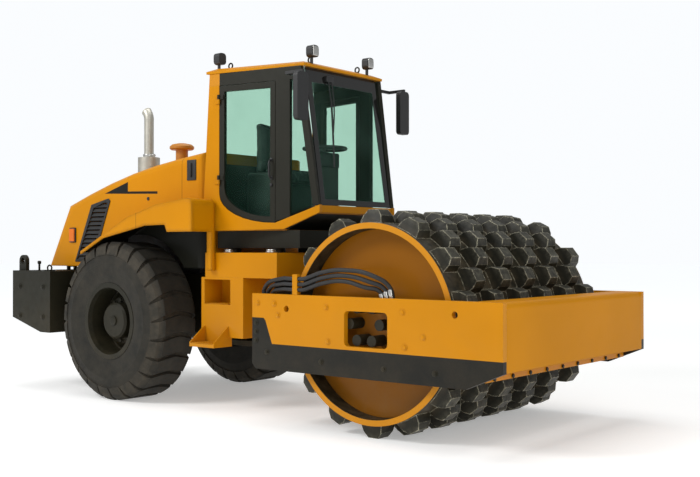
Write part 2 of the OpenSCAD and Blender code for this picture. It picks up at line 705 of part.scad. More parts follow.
module cab_posts() {
    color(black) both() {
        on_wall(0, cab_wall, [[door_u1 + side_play, 1665], [post_u, 1700], [post_u, header_z],
            [door_u1 + side_play, header_z]]);
        on_wall(0, cab_wall, [[wall_back(header_z), header_z], [wall_front(header_z), header_z],
            [wall_front(cab_top), cab_top], [wall_back(cab_top), cab_top]]);
        on_wall(0, cab_wall, [[wall_front(sill_front) - 60, sill_front], [wall_front(sill_front), sill_front],
            [wall_front(header_z), header_z], [wall_front(header_z) - 60, header_z]]);
    }
}
module quarter_panes() {
    color(glass) both() on_wall(pane_d, pane_d + pane_t, [
        [post_u, 1720], [wall_front(sill_front) - 60, sill_front],
        [wall_front(header_z) - 60, header_z], [post_u, header_z]]);
}
module windscreen() {
    lean = cab_lean_front * (cab_top - sill_front) / (cab_top - toe_z);
    color(glass) slab_y(-cab_front_y + 45, cab_front_y - 45, [[cab_front - 20, sill_front],
        [cab_front - 20 - lean, cab_top], [cab_front - 28 - lean, cab_top], [cab_front - 28, sill_front]]);
}
module rear_window() {
    color(glass) slab_y(-cab_back_y + 60, cab_back_y - 60, [
        [cab_back + 52, back_sill], [cab_back + 60, back_sill],
        [cab_back + 60 + 44, cab_top], [cab_back + 52 + 44, cab_top]]);
}
roof_edge = 22;                  // height of the roof's rim
roof_rise = 30;                  // and of the crown above it
roof_slope = 70;
roof_over = 30;                  // overhang in front and behind
roof_x0 = cab_back + cab_lean_back - roof_over;
roof_x1 = cab_front - cab_lean_front + roof_over;
function roof_plan(d) = [[roof_x0 + d, -cab_back_y + d], [roof_x1 - d, -cab_front_y - 20 + d],
    [roof_x1 - d, cab_front_y + 20 - d], [roof_x0 + d, cab_back_y - d]];
module roof_form() {
    hull() {
        translate([0, 0, cab_top]) linear_extrude(roof_edge) polygon(roof_plan(0));
        translate([0, 0, cab_top]) linear_extrude(roof_edge + roof_rise) polygon(roof_plan(roof_slope));
    }
}
module cab_roof() { color(yellow) roof_form(); }
lamp_w = 90;
lamp_h = 105;
lamp_l = 70;
lamp_top = cab_top + 200;
lamp_stem_r = 14;
// A work lamp on its stem, standing on the roof
module work_lamp(x, y) {
    slab_x(x - lamp_l / 2, x + lamp_l / 2,
        round_rect(y - lamp_w / 2, lamp_top - lamp_h, y + lamp_w / 2, lamp_top, 32));
    difference() {
        rod_z(cab_top + 2, lamp_top - lamp_h + 5, x - 10, y, lamp_stem_r);
        roof_form();
    }
}
module work_lamps() {
    color(black) both() {
        work_lamp(roof_x1 - 45, -390);
        work_lamp(roof_x0 + 60, -640);
    }
}
hinge_u = door_u0 - side_play / 2;
hinge_d = -14;
hinge_r = 12;
hinge_pin_r = 6;
hinge_h = 40;
hinge_zs = [2000, 2720];
module on_hinge(z0) {
    translate([cab_back, -cab_back_y, z0]) rotate([0, 0, taper]) translate([hinge_u, hinge_d, 0]) children();
}
module hinge_half(dir) {
    cylinder(r = hinge_r, h = hinge_h);
    translate([dir > 0 ? 3 : -45, -hinge_d - 10, 0]) cube([42, 12, hinge_h]);
}
module hinge_fixed(z0) {
    on_hinge(z0) {
        hinge_half(-1);
        cylinder(r = hinge_pin_r, h = 2 * hinge_h);
    }
}
module hinge_moving(z0) {
    on_hinge(z0 + hinge_h + seat_gap) hinge_half(1);
}
door_rim = 50;
function door_opening() = concat(
    [for (p = door_curve()) p + [door_rim * (1 - (p[0] - door_u0) / 300), door_rim]],
    [[door_u1 - door_rim, 1655 + door_rim + 20], [door_u1 - door_rim, header_z - side_play - door_rim],
    [door_u0 + door_rim, header_z - side_play - door_rim]]);
module door_frame() {
    color(black) difference() {
        union() {
            on_wall(0, cab_wall, concat(door_curve(), [[door_u1, header_z - side_play],
                [door_u0, header_z - side_play]]));
            for (z = hinge_zs) hinge_moving(z);
        }
        for (z = hinge_zs) on_hinge(z) cylinder(r = hinge_pin_r + running_fit, h = 3 * hinge_h);
        on_wall(-1, cab_wall + 1, door_opening());
    }
}
module door_glass() {
    color(glass) on_wall(pane_d, pane_d + pane_t, door_opening());
}
module door_frame_right() { door_frame(); }
module door_glass_right() { door_glass(); }
module door_frame_left() { left() door_frame(); }
module door_glass_left() { left() door_glass(); }
platform_y = 560;
mount_r = 60;
mount_h = 40;                    // height of the rubber mounts under the platform
mount_y = 480;
module cab_platform() {
    color(black) {
        box(cab_back, pivot_x + 420, -platform_y, platform_y, tank_top + mount_h, cab_low);
        both() for (x = [pivot_x - 450, pivot_x + 100])
            rod_z(tank_top, tank_top + mount_h + 1, x, -mount_y, mount_r);
    }
}
module seat() {
    x = pivot_x - 200;
    z = cab_low + 50;
    color("dimgray") {
        box(x - 220, x + 220, -230, 230, z + 380, z + 500);
        box(x - 280, x - 160, -230, 230, z + 480, z + 1000);
        box(x - 150, x + 150, -150, 150, z, z + 381);
    }
}
module steering_column() {
    x = pivot_x + 250;
    z = cab_low + 50;
    color("dimgray") {
        box(x - 60, x + 10, -150, 150, z, z + 600);
        rod_z(z + 599, z + 700, x - 25, 0, 25);
        translate([x - 25, 0, z + 700]) rotate_extrude() translate([190, 0]) circle(r = 16, $fn = 24);
        box(x - 215, x + 165, -20, 20, z + 690, z + 710);
    }
}
module mirrors() {
    arm_x = cab_front - 215;
    color(black) both() difference() {
        union() {
            slab_x(cab_front - 70, cab_front - 20, round_rect(-790, 2500, -650, 2905, 35));
            box(arm_x, cab_front - 20, -730, -705, 2899, 2925);
            box(arm_x, arm_x + 25, -730, -500, 2899, 2925);
        }
        on_wall(0, 200, [[0, cab_low], [wall_l, cab_low], [wall_l, cab_top], [0, cab_top]]);
    }
}

rear_chassis();
rear_bumper();
engine_block();
rear_axle();
fender_right();
fender_left();
tank_right();
tank_left();
steps_right();
steps_left();
cab_platform();
cab_tub();
cab_posts();
cab_roof();
windscreen();
rear_window();
quarter_panes();
seat();
steering_column();
work_lamps();
mirrors();
door_frame_right();
door_glass_right();
door_frame_left();
door_glass_left();
hood_shell();
hood_grilles();
exhaust_stack();
air_cleaner();
tail_lamps();
centre_link();
side_plate_right();
side_plate_left();
front_beam();
crossbeam();
scrapers();
drum_carriers();
hose_clamp();
drum_hoses();
drum_shell();
drum_heads();
tyre_right();
rim_right();
tyre_left();
rim_left();
steer_barrel_right();
steer_rod_right();
steer_barrel_left();
steer_rod_left();
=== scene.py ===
import json
import math
import bpy
import mathutils
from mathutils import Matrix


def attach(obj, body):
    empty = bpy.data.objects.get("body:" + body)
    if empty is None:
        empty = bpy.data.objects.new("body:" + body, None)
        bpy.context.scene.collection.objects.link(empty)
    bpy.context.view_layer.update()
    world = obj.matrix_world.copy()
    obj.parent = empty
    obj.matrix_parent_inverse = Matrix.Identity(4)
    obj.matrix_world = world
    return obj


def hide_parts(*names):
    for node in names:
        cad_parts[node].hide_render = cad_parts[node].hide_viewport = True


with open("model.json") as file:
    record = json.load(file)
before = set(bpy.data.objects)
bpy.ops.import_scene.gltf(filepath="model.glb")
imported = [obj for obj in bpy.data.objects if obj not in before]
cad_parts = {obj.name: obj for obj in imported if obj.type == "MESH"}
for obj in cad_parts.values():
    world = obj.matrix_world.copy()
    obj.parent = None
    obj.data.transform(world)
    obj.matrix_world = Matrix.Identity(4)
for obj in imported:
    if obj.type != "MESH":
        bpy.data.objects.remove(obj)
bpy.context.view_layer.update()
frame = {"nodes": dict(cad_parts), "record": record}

print("frame loaded", len(frame["nodes"]), "nodes")

# camera: at the photo's viewing angle
view = {
    "place": (6.449, -7.084, 1.43),
    "turn": 39.05,      # degrees about Z
    "tilt": 0.54,       # degrees above level
    "focal": 1022.5,    # pixels in the 700 pixel frame
}
cameraData = bpy.data.cameras.new("camera")
camera = bpy.data.objects.new("camera", cameraData)
bpy.context.scene.collection.objects.link(camera)
camera.location = view["place"]
camera.rotation_euler = (math.radians(90 + view["tilt"]), 0, math.radians(view["turn"]))
cameraData.sensor_fit = "HORIZONTAL"
cameraData.sensor_width = 36
cameraData.lens = view["focal"] / 700 * 36
bpy.context.scene.camera = camera
bpy.context.scene.view_settings.view_transform = "Standard"
print("camera set")


# shader values as Python expressions
class Wire:
    def __init__(self, finish, socket):
        self.finish = finish
        self.socket = socket

    def math(self, operation, *others):
        inputs = {0: self}
        for index, other in enumerate(others):
            inputs[index + 1] = other
        return self.finish.node("ShaderNodeMath", {"operation": operation}, inputs)

    def __add__(self, other):
        return self.math("ADD", other)

    def __radd__(self, other):
        return self.math("ADD", other)

    def __sub__(self, other):
        return self.math("SUBTRACT", other)

    def __rsub__(self, other):
        return self.finish.node("ShaderNodeMath", {"operation": "SUBTRACT"}, {0: other, 1: self})

    def __mul__(self, other):
        return self.math("MULTIPLY", other)

    def __rmul__(self, other):
        return self.math("MULTIPLY", other)

    def __pow__(self, other):
        return self.math("POWER", other)

    def __abs__(self):
        return self.math("ABSOLUTE")

    def least(self, other):
        return self.math("MINIMUM", other)

    def most(self, other):
        return self.math("MAXIMUM", other)

    def ramp(self, low, high):      # 0 at low, 1 at high, clamped
        return self.finish.node("ShaderNodeMapRange", {"clamp": True},
                                {"Value": self, "From Min": low, "From Max": high})


class Finish:
    def __init__(self, name, **constants):
        self.material = bpy.data.materials.new(name)
        self.material.use_nodes = True
        self.tree = self.material.node_tree
        self.shader = self.tree.nodes["Principled BSDF"]
        for key, value in constants.items():
            self.put(self.shader.inputs[key.replace("_", " ")], value)
        self.coordinates = None

    def put(self, socket, value):
        if isinstance(value, Wire):
            self.tree.links.new(value.socket, socket)
        elif isinstance(value, tuple) and len(value) == 3 and socket.type == "RGBA":
            socket.default_value = (*value, 1)
        else:
            socket.default_value = value

    def node(self, kind, settings=None, inputs=None, out=0):
        made = self.tree.nodes.new(kind)
        for key, value in (settings or {}).items():
            setattr(made, key, value)
        for key, value in (inputs or {}).items():
            self.put(made.inputs[key], value)
        return Wire(self, made.outputs[out])

    def feed(self, name, value):
        self.put(self.shader.inputs[name], value)

    def place(self):
        if self.coordinates is None:
            self.coordinates = self.node("ShaderNodeTexCoord", out="Object")
        return self.coordinates

    def axes(self):
        split = self.tree.nodes.new("ShaderNodeSeparateXYZ")
        self.put(split.inputs[0], self.place())
        return [Wire(self, split.outputs[i]) for i in range(3)]

    def noise(self, scale, detail=3.0, rough=0.5):
        return self.node("ShaderNodeTexNoise", {}, {"Vector": self.place(), "Scale": scale, "Detail": detail,
                                                    "Roughness": rough})

    def mix(self, factor, a, b):
        made = self.tree.nodes.new("ShaderNodeMix")
        made.data_type = "RGBA"
        self.put(made.inputs[0], factor)
        self.put(made.inputs[6], a)
        self.put(made.inputs[7], b)
        return Wire(self, made.outputs[2])

    def bump(self, height, strength, distance=0.01, normal=None):
        inputs = {"Height": height, "Strength": strength, "Distance": distance}
        if normal is not None:
            inputs["Normal"] = normal
        self.feed("Normal", self.node("ShaderNodeBump", {}, inputs))

    def softEdges(self, radius):    # normals rounded over sharp edges
        return self.node("ShaderNodeBevel", {"samples": 4}, {"Radius": radius})

    def edgeMask(self, radius, gain):   # 1 along sharp edges
        bent = self.softEdges(radius)
        flat = self.node("ShaderNodeNewGeometry", out="Normal")
        agree = self.node("ShaderNodeVectorMath", {"operation": "DOT_PRODUCT"}, {0: bent, 1: flat}, out="Value")
        return ((1 - agree) * gain).ramp(0.0, 1.0)

    def inside(self, across, up, corners, soft=0.002):  # convex outline, corners anticlockwise
        mask = None
        for (ax, ay), (bx, by) in zip(corners, corners[1:] + corners[:1]):
            length = math.hypot(bx - ax, by - ay)
            nx, ny = (ay - by) / length, (bx - ax) / length
            gap = across * nx + up * ny - (ax * nx + ay * ny)
            mask = gap if mask is None else mask.least(gap)
        return mask.ramp(-soft, soft)


tones = {
    # the drum head's and the carriers' tone is the yellow darkened, a painted shade
    "yellow": (0.57, 0.222, 0.001), "chipped": (0.88, 0.56, 0.12), "shadedYellow": (0.30, 0.105, 0.003),
    "black": (0.012, 0.0115, 0.006), "worn": (0.13, 0.12, 0.10),
    "print": (0.014, 0.014, 0.012),     # bands and wedges
    "insideShade": (0.012, 0.012, 0.010),    # painted shade inside the cab
    "arch": (0.010, 0.010, 0.007),      # painted shade over the wheels
    "seam": (0.05, 0.022, 0.004),       # gaps between panels
}
dust = {"colour": (0.26, 0.19, 0.10), "top": 1.2, "most": 0.22}


def dusty(finish, colour, amount=1.0):      # settled dust, thicker towards the ground
    z = finish.axes()[2]
    low = z.ramp(dust["top"], 0.0)
    patch = finish.noise(5.0, 6.0, 0.65).ramp(0.35, 0.75)
    fine = finish.noise(60.0, 4.0, 0.6).ramp(0.3, 0.8)
    mask = (low * patch * 0.8 + low * fine * 0.3) * (dust["most"] * amount)
    return finish.mix(mask, colour, dust["colour"]), mask


def yellowPaint(name, colour=tones["yellow"], marks=None, amount=1.0, soft=0.006, gloss=0.11):
    finish = Finish(name, Coat_Roughness=0.10, Specular_IOR_Level=gloss)
    tone = finish.noise(1.3, 3.0).ramp(0.3, 0.7)
    base = finish.mix(tone, tuple(c * 0.93 for c in colour), tuple(min(c * 1.05, 1) for c in colour))
    edge = finish.edgeMask(0.006, 4.0) * finish.noise(30.0, 5.0, 0.7).ramp(0.45, 0.7)
    base = finish.mix(edge * 0.45, base, tones["chipped"])
    if marks:
        base = marks(finish, base)
    base, mask = dusty(finish, base, amount)
    finish.feed("Base Color", base)
    finish.feed("Roughness", finish.noise(9.0, 4.0).ramp(0.2, 0.8) * 0.14 + 0.27 + mask * 0.5)
    finish.feed("Coat Weight", (1 - mask) * 0.06)
    peel = finish.noise(260.0, 2.0)
    finish.bump(peel, 0.02, 0.002, finish.softEdges(soft))
    return finish.material


def blackPaint(name, colour=tones["black"], amount=0.8, rough=0.40, marks=None):
    finish = Finish(name, Specular_IOR_Level=0.24)
    edge = finish.edgeMask(0.005, 4.0) * finish.noise(40.0, 5.0, 0.7).ramp(0.4, 0.7)
    base = finish.mix(edge * 0.5, colour, tones["worn"])
    if marks:
        base = marks(finish, base)
    base, mask = dusty(finish, base, amount)
    finish.feed("Base Color", base)
    finish.feed("Roughness", finish.noise(14.0, 4.0).ramp(0.2, 0.8) * 0.2 + rough + mask * 0.3)
    finish.bump(finish.noise(180.0, 3.0), 0.04, 0.002, finish.softEdges(0.004))
    return finish.material


def plainPlastic(name, colour, rough=0.5, grain=320.0):
    finish = Finish(name)
    tone = finish.noise(6.0, 3.0).ramp(0.2, 0.8)
    finish.feed("Base Color", finish.mix(tone, tuple(c * 0.85 for c in colour), tuple(c * 1.1 for c in colour)))
    finish.feed("Roughness", finish.noise(20.0, 3.0) * 0.2 + rough - 0.1)
    finish.bump(finish.noise(grain, 2.0), 0.06, 0.001, finish.softEdges(0.003))
    return finish.material


def metal(name, colour, rough):
    finish = Finish(name, Metallic=1.0)
    tone = finish.noise(8.0, 5.0, 0.6).ramp(0.2, 0.8)
    finish.feed("Base Color", finish.mix(tone, tuple(c * 0.72 for c in colour), colour))
    finish.feed("Roughness", finish.noise(30.0, 4.0) * 0.25 + rough - 0.1)
    finish.bump(finish.noise(120.0, 4.0), 0.03, 0.001, finish.softEdges(0.003))
    return finish.material


drumPlace = {"x": 1.7325, "z": 0.8615, "shell": 0.7615, "tip": 0.8615, "half": 1.05}


def drumSteel(name):
    finish = Finish(name, Specular_IOR_Level=0.26)
    x, y, z = finish.axes()
    radius = ((x - drumPlace["x"]) ** 2.0 + (z - drumPlace["z"]) ** 2.0) ** 0.5
    edge = finish.edgeMask(0.012, 7.0)
    scuff = finish.noise(26.0, 6.0, 0.7).ramp(0.38, 0.60)
    crown = radius.ramp(drumPlace["tip"] - 0.05, drumPlace["tip"])
    base = finish.mix(finish.noise(3.0, 4.0).ramp(0.3, 0.7), (0.008, 0.008, 0.004), (0.019, 0.017, 0.009))
    pale = finish.mix(finish.noise(12.0, 4.0), (0.50, 0.45, 0.28), (0.74, 0.71, 0.56))
    base = finish.mix((edge * scuff * 0.95 + crown * scuff * 0.08).ramp(0.0, 1.0), base, pale)
    root = radius.ramp(drumPlace["shell"] + 0.05, drumPlace["shell"])
    base = finish.mix(root * finish.noise(9.0, 5.0, 0.7).ramp(0.4, 0.75) * 0.5, base, (0.16, 0.12, 0.07))
    rim = abs(y).ramp(drumPlace["half"] - 0.003, drumPlace["half"] - 0.001)
    base = finish.mix(rim, base, tones["yellow"])
    finish.feed("Base Color", base)
    finish.feed("Roughness", finish.noise(20.0, 5.0).ramp(0.2, 0.8) * 0.25 + 0.36)
    finish.bump(finish.noise(70.0, 5.0, 0.6), 0.12, 0.003, finish.softEdges(0.006))
    return finish.material


wheelPlace = {"x": -1.3675, "z": 0.745, "radius": 0.745}


def tyreRubber(name):
    finish = Finish(name, Specular_IOR_Level=0.22)
    x, y, z = finish.axes()
    radius = ((x - wheelPlace["x"]) ** 2.0 + (z - wheelPlace["z"]) ** 2.0) ** 0.5
    groove = radius.ramp(wheelPlace["radius"] - 0.006, wheelPlace["radius"] - 0.03)
    tread = radius.ramp(0.60, 0.64)
    grime = finish.noise(8.0, 6.0, 0.7).ramp(0.3, 0.75)
    base = finish.mix(finish.noise(4.0, 3.0), (0.011, 0.011, 0.009), (0.024, 0.023, 0.019))
    base = finish.mix(grime * (0.14 + tread * groove * 0.22), base, (0.15, 0.12, 0.08))
    edge = finish.edgeMask(0.006, 4.0)
    base = finish.mix(edge * 0.35 * grime, base, (0.20, 0.18, 0.15))
    finish.feed("Base Color", base)
    finish.feed("Roughness", finish.noise(25.0, 3.0) * 0.2 + 0.62)
    rings = (radius * 260.0).math("SINE").ramp(0.6, 1.0) * (1 - tread)
    finish.bump(finish.noise(90.0, 4.0) + rings * 0.6, 0.15, 0.003, finish.softEdges(0.006))
    return finish.material


def cabGlass(name, border=None):    # tinted see-through sheet under a thin gloss
    finish = Finish(name, Specular_IOR_Level=0.6)
    smear = finish.noise(3.5, 4.0).ramp(0.4, 0.8)
    base = finish.mix(smear, (0.03, 0.10, 0.07), (0.10, 0.20, 0.16))
    cover = smear * 0.03 + 0.05
    if border:      # dark printed edge
        edge = border(finish)
        base = finish.mix(edge, base, (0.010, 0.010, 0.009))
        cover = cover.most(edge)
    finish.feed("Base Color", base)
    finish.feed("Roughness", smear * 0.03 + 0.02)
    tint = finish.node("ShaderNodeBsdfTransparent", {}, {"Color": (0.83, 0.94, 0.885)})
    gloss = Wire(finish, finish.shader.outputs[0])
    finish.put(finish.tree.nodes["Material Output"].inputs["Surface"],
               finish.node("ShaderNodeMixShader", {}, {0: cover, 1: tint, 2: gloss}))
    return finish.material


screen = {"side": 0.425, "low": 1.85, "high": 2.87}     # clear part of the windscreen


def screenBorder(finish):
    x, y, z = finish.axes()
    clearPart = finish.inside(abs(y), z, [(-1.0, screen["low"]), (screen["side"], screen["low"]),
                                          (screen["side"], screen["high"]), (-1.0, screen["high"])], 0.003)
    return 1 - clearPart


def seatVinyl(name):
    finish = Finish(name)
    grain = finish.node("ShaderNodeTexVoronoi", {}, {"Vector": finish.place(), "Scale": 220.0})
    finish.feed("Base Color", finish.mix(finish.noise(5.0, 3.0), (0.018, 0.018, 0.020), (0.040, 0.040, 0.042)))
    finish.feed("Roughness", finish.noise(12.0, 3.0) * 0.2 + 0.42)
    finish.bump(grain, 0.18, 0.002)
    return finish.material


band = {    # black lower band on the side plates, metres along X and Z
    "line": 0.668, "rearTop": 0.872, "rearIn": 0.7635, "slant": 0.08, "corner": 0.02,
    "behind": 0.5, "below": 0.4,    # outside the plate
}


def bandMarks(finish, base):
    x, y, z = finish.axes()
    low = z.ramp(band["line"] + 0.0015, band["line"] - 0.0015)
    behind, below, rearIn, rearTop = (band[key] for key in ("behind", "below", "rearIn", "rearTop"))
    slant, corner = band["slant"], band["corner"]
    rear = finish.inside(x, z, [
        (behind, below), (rearIn + slant + 0.01, below), (rearIn + slant, band["line"] - corner),
        (rearIn, rearTop - corner), (rearIn - corner, rearTop), (behind, rearTop)], 0.0015)
    return finish.mix(low.most(rear), base, tones["print"])


def plan(finish, room):     # inside a room's walls, seen from above
    x, y, z = finish.axes()
    return finish.inside(x, abs(y), [
        (room["back"], -0.1), (room["front"], -0.1),
        (room["front"], room["wallFront"]), (room["back"], room["wallBack"])], 0.001)


cabInside = {"back": -0.355, "front": 0.765, "wallBack": 0.735, "wallFront": 0.515, "floor": 1.590}


def cabMarks(finish, base):     # painted shade on the cab's inner faces
    z = finish.axes()[2]
    room = plan(finish, cabInside) * z.ramp(cabInside["floor"], cabInside["floor"] + 0.002)
    return finish.mix(room, base, tones["insideShade"])


roofShade = {"z": 2.995, "back": -0.34, "front": 0.58, "wallBack": 0.70, "wallFront": 0.53}


def roofMarks(finish, base):    # painted shade under the roof
    z = finish.axes()[2]
    room = plan(finish, roofShade) * z.ramp(roofShade["z"] + 0.002, roofShade["z"] + 0.001)
    return finish.mix(room, base, tones["insideShade"])


rearPost = {"edge": -0.222, "back": -0.4075, "side": 0.75, "taper": 10.30}


def postMarks(finish, base):     # yellow on the outside, behind the edge
    x, y, z = finish.axes()
    skin = abs(y) + (x - rearPost["back"]) * math.tan(math.radians(rearPost["taper"]))
    outside = skin.ramp(rearPost["side"] - 0.022, rearPost["side"] - 0.018)
    outside = outside.most(x.ramp(rearPost["back"] + 0.012, rearPost["back"] + 0.008))
    outside = outside * x.ramp(rearPost["edge"] + 0.001, rearPost["edge"] - 0.001)
    return finish.mix(outside, base, tones["yellow"])


carrierFace = 0.966   # the carriers are a darkened yellow up to this Y, a painted shade, and their buffers black


def carrierMarks(finish, base):
    x, y, z = finish.axes()
    return finish.mix(abs(y).ramp(carrierFace + 0.001, carrierFace - 0.001), base, tones["shadedYellow"])


hoodSide = {    # outlines along X and Z
    "wedge": [(-1.91, 1.975), (-1.547, 1.962), (-1.547, 2.078)],
    "bar": [(-1.56, 1.962), (-1.107, 1.948), (-1.107, 1.972), (-1.56, 1.986)],
    "arch": [(-1.80, 1.20), (-0.40, 1.20), (-0.40, 1.86), (-0.7075, 1.828), (-1.1075, 1.728), (-1.4675, 1.568),
             (-1.80, 1.418)],
    "seamX": -0.76, "seamHalf": 0.0035, "seamLow": 1.30,
}


def hoodMarks(finish, base):    # dark wedge running out in a bar, a panel gap, and painted shade over the wheel
    x, y, z = finish.axes()
    wedge, bar = (finish.inside(x, z, hoodSide[key], 0.0015) for key in ("wedge", "bar"))
    base = finish.mix(wedge.most(bar) * abs(y).ramp(0.66, 0.67), base, tones["print"])
    gap = abs(x - hoodSide["seamX"]).ramp(hoodSide["seamHalf"], hoodSide["seamHalf"] - 0.002)
    gap = gap * z.ramp(hoodSide["seamLow"], hoodSide["seamLow"] + 0.004)
    base = finish.mix(gap * 0.85, base, tones["seam"])
    arch = finish.inside(x, z, hoodSide["arch"], 0.002) * abs(y).ramp(0.60, 0.61)
    return finish.mix(arch, base, tones["arch"])


fenderShape = {
    "axle": -1.3675, "front": -0.2325, "top": 1.87, "round": 0.07, "side": 1.04, "wall": 0.014, "seam": -0.985,
    "line": [(0.66, 1.825), (0.26, 1.72), (-0.10, 1.56), (-0.45, 1.40)],     # from the axle, down to the back
    "strut": (-0.2945, 1.601),
}


def fenderMarks(finish, base):      # painted shade inside, and a seam across the outside
    x, y, z = finish.axes()
    axle, bend = fenderShape["axle"], fenderShape["round"]
    skin = fenderShape["wall"] - 0.002
    front, top, side = (fenderShape[key] - skin for key in ("front", "top", "side"))
    cut = 0.293 * bend      # the middle of a round corner
    outline = [(axle - 0.50, 1.20), (front, 1.20), (front, top - bend), (front - cut, top - cut),
               (front - bend, top)]
    outline += [(axle + along - skin, up - skin) for along, up in fenderShape["line"]]
    cavityShade = finish.inside(x, z, outline, 0.0008)
    cavityShade = cavityShade * abs(y).ramp(side, side - 0.001)
    strutX, strutZ = fenderShape["strut"]
    strut = x.ramp(strutX - 0.001, strutX + 0.001) * z.ramp(strutZ + 0.001, strutZ - 0.001)
    base = finish.mix(cavityShade * (1 - strut), base, tones["arch"])
    gap = abs(x - fenderShape["seam"]).ramp(0.0035, 0.0015)
    return finish.mix(gap * 0.8, base, tones["seam"])


print("building finishes")
finishes = {
    "yellow_paint": yellowPaint("yellowPaint"),
    "black_paint": blackPaint("blackPaint"),
    "engine_grey": metal("engineGrey", (0.16, 0.16, 0.16), 0.6),
    "cab_glass": cabGlass("cabGlass"),
    "seat_vinyl": seatVinyl("seatVinyl"),
    "dash_plastic": plainPlastic("dashPlastic", (0.035, 0.035, 0.034)),
    "black_plastic": plainPlastic("blackPlastic", (0.014, 0.014, 0.014)),
    "bright_steel": metal("brightSteel", (0.66, 0.65, 0.62), 0.28),
    "orange_plastic": plainPlastic("orangePlastic", (0.62, 0.12, 0.008), 0.4, 120.0),
    "lamp_orange": plainPlastic("lampOrange", (0.75, 0.16, 0.004), 0.2, 60.0),
    "rubber_black": plainPlastic("rubberBlack", (0.012, 0.012, 0.012), 0.6, 90.0),
    "drum_black": drumSteel("drumSteel"),
    # the drum head in the darkened yellow, a painted shade
    "drum_brown": yellowPaint("drumHeadShadedPaint", tones["shadedYellow"], None, 1.2),
    "tyre": tyreRubber("tyreRubber"),
    "chrome_rod": metal("chromeRod", (0.82, 0.82, 0.82), 0.14),
}
special = {
    "side_plate_right": yellowPaint("sidePlatePaint", marks=bandMarks, amount=0.6),
    "hood_shell": yellowPaint("hoodPaint", marks=hoodMarks, amount=0.5, soft=0.02),
    "fender_right": yellowPaint("fenderPaint", marks=fenderMarks, amount=0.6, soft=0.05),
    "front_beam": yellowPaint("beamPaint", amount=0.2, soft=0.02, gloss=0.03),
    "exhaust_stack": metal("exhaustSteel", (0.60, 0.58, 0.51), 0.5),
    "air_cleaner": plainPlastic("cleanerPlastic", (0.50, 0.19, 0.010), 0.45, 120.0),
    "cab_tub": yellowPaint("cabPaint", marks=cabMarks, amount=0.4),
    "cab_roof": yellowPaint("roofPaint", marks=roofMarks, amount=0.4),
    "windscreen": cabGlass("screenGlass", screenBorder),
    "cab_posts": blackPaint("postPaint", marks=postMarks),
    "drum_carriers": blackPaint("carrierPaint", marks=carrierMarks),
}
special["side_plate_left"] = special["side_plate_right"]
special["fender_left"] = special["fender_right"]
slotOf = {row["node"]: row["material_slot"] for row in frame["record"]["subparts"]}


def paint(piece, material):
    piece.data.materials.clear()
    piece.data.materials.append(material)


for nodeName, nodeObject in frame["nodes"].items():
    for slot in nodeObject.material_slots:
        slot.material = special.get(nodeName, finishes[slotOf[nodeName]])
print("finishes on", len(frame["nodes"]), "nodes")

# floor and light
floor = {   # paler away from the machine, so that no horizon shows
    "size": 160.0, "colour": (0.86, 0.86, 0.85), "near": (0.34, 0.34, 0.337), "far": (0.61, 0.63, 0.65),
    "fade": (5.0, 15.0),
}
bpy.ops.object.select_all(action="DESELECT")
bpy.ops.mesh.primitive_plane_add(size=floor["size"], location=(0, 0, 0))
ground = bpy.context.active_object
ground.name = "ground"
groundFinish = Finish("ground", Roughness=0.9, Base_Color=floor["colour"], Emission_Strength=1.0)
x, y, z = groundFinish.axes()
reach = (x * x + y * y) ** 0.5
glow = groundFinish.mix(reach.ramp(*floor["fade"]), floor["near"], floor["far"])
groundFinish.feed("Emission Color", glow)
paint(ground, groundFinish.material)

lights = [
    {"name": "key", "place": (-4.0, -9.0, 8.5), "power": 730, "size": 4.0},
    {"name": "fill", "place": (9.0, -5.0, 4.5), "power": 190, "size": 5.0},
    {"name": "top", "place": (0.0, 1.0, 10.0), "power": 420, "size": 7.0},
]
for row in lights:
    data = bpy.data.lights.new(row["name"], "AREA")
    data.energy = row["power"]
    data.size = row["size"]
    lamp = bpy.data.objects.new(row["name"], data)
    bpy.context.scene.collection.objects.link(lamp)
    lamp.location = row["place"]
    aim = mathutils.Vector((0, 0, 1.0)) - lamp.location
    lamp.rotation_euler = aim.to_track_quat("-Z", "Y").to_euler()
studio = {"colour": (0.96, 0.98, 1.0, 1), "lighting": 0.42, "seen": 1.0}     # lights less than it shows
world = bpy.data.worlds.new("studio")
bpy.context.scene.world = world
world.use_nodes = True
sky = world.node_tree.nodes["Background"]
sky.inputs[0].default_value = studio["colour"]
seen = world.node_tree.nodes.new("ShaderNodeLightPath")
level = world.node_tree.nodes.new("ShaderNodeMapRange")
level.inputs["To Min"].default_value = studio["lighting"]
level.inputs["To Max"].default_value = studio["seen"]
world.node_tree.links.new(seen.outputs["Is Camera Ray"], level.inputs["Value"])
world.node_tree.links.new(level.outputs[0], sky.inputs[1])
print("floor and light set")

# tools for the added pieces
sides = ("right", "left")


def clear():
    if bpy.context.object and bpy.context.object.mode != "OBJECT":
        bpy.ops.object.mode_set(mode="OBJECT")
    bpy.ops.object.select_all(action="DESELECT")


def hold(piece):
    clear()
    piece.select_set(True)
    bpy.context.view_layer.objects.active = piece
    return piece


def settle(piece):      # place, turn and scale go into the mesh
    hold(piece)
    bpy.ops.object.transform_apply(location=True, rotation=True, scale=True)
    return piece


def edit(piece, *steps):
    hold(piece)
    bpy.ops.object.mode_set(mode="EDIT")
    bpy.ops.mesh.select_all(action="SELECT")
    for step in steps:
        step()
    bpy.ops.mesh.select_all(action="SELECT")
    bpy.ops.mesh.normals_make_consistent(inside=False)
    bpy.ops.object.mode_set(mode="OBJECT")
    return piece


def bevelAll(width, segments):
    bpy.ops.mesh.bevel(offset=width, segments=segments, affect="EDGES")


def bevelSharp(width, segments, sharp):
    bpy.ops.mesh.select_all(action="DESELECT")
    bpy.ops.mesh.select_mode(type="EDGE")
    bpy.ops.mesh.edges_select_sharp(sharpness=math.radians(sharp))
    bpy.ops.mesh.bevel(offset=width, segments=segments, affect="EDGES")


def shifted(point, x=0.0, y=0.0, z=0.0):
    return (point[0] + x, point[1] + y, point[2] + z)


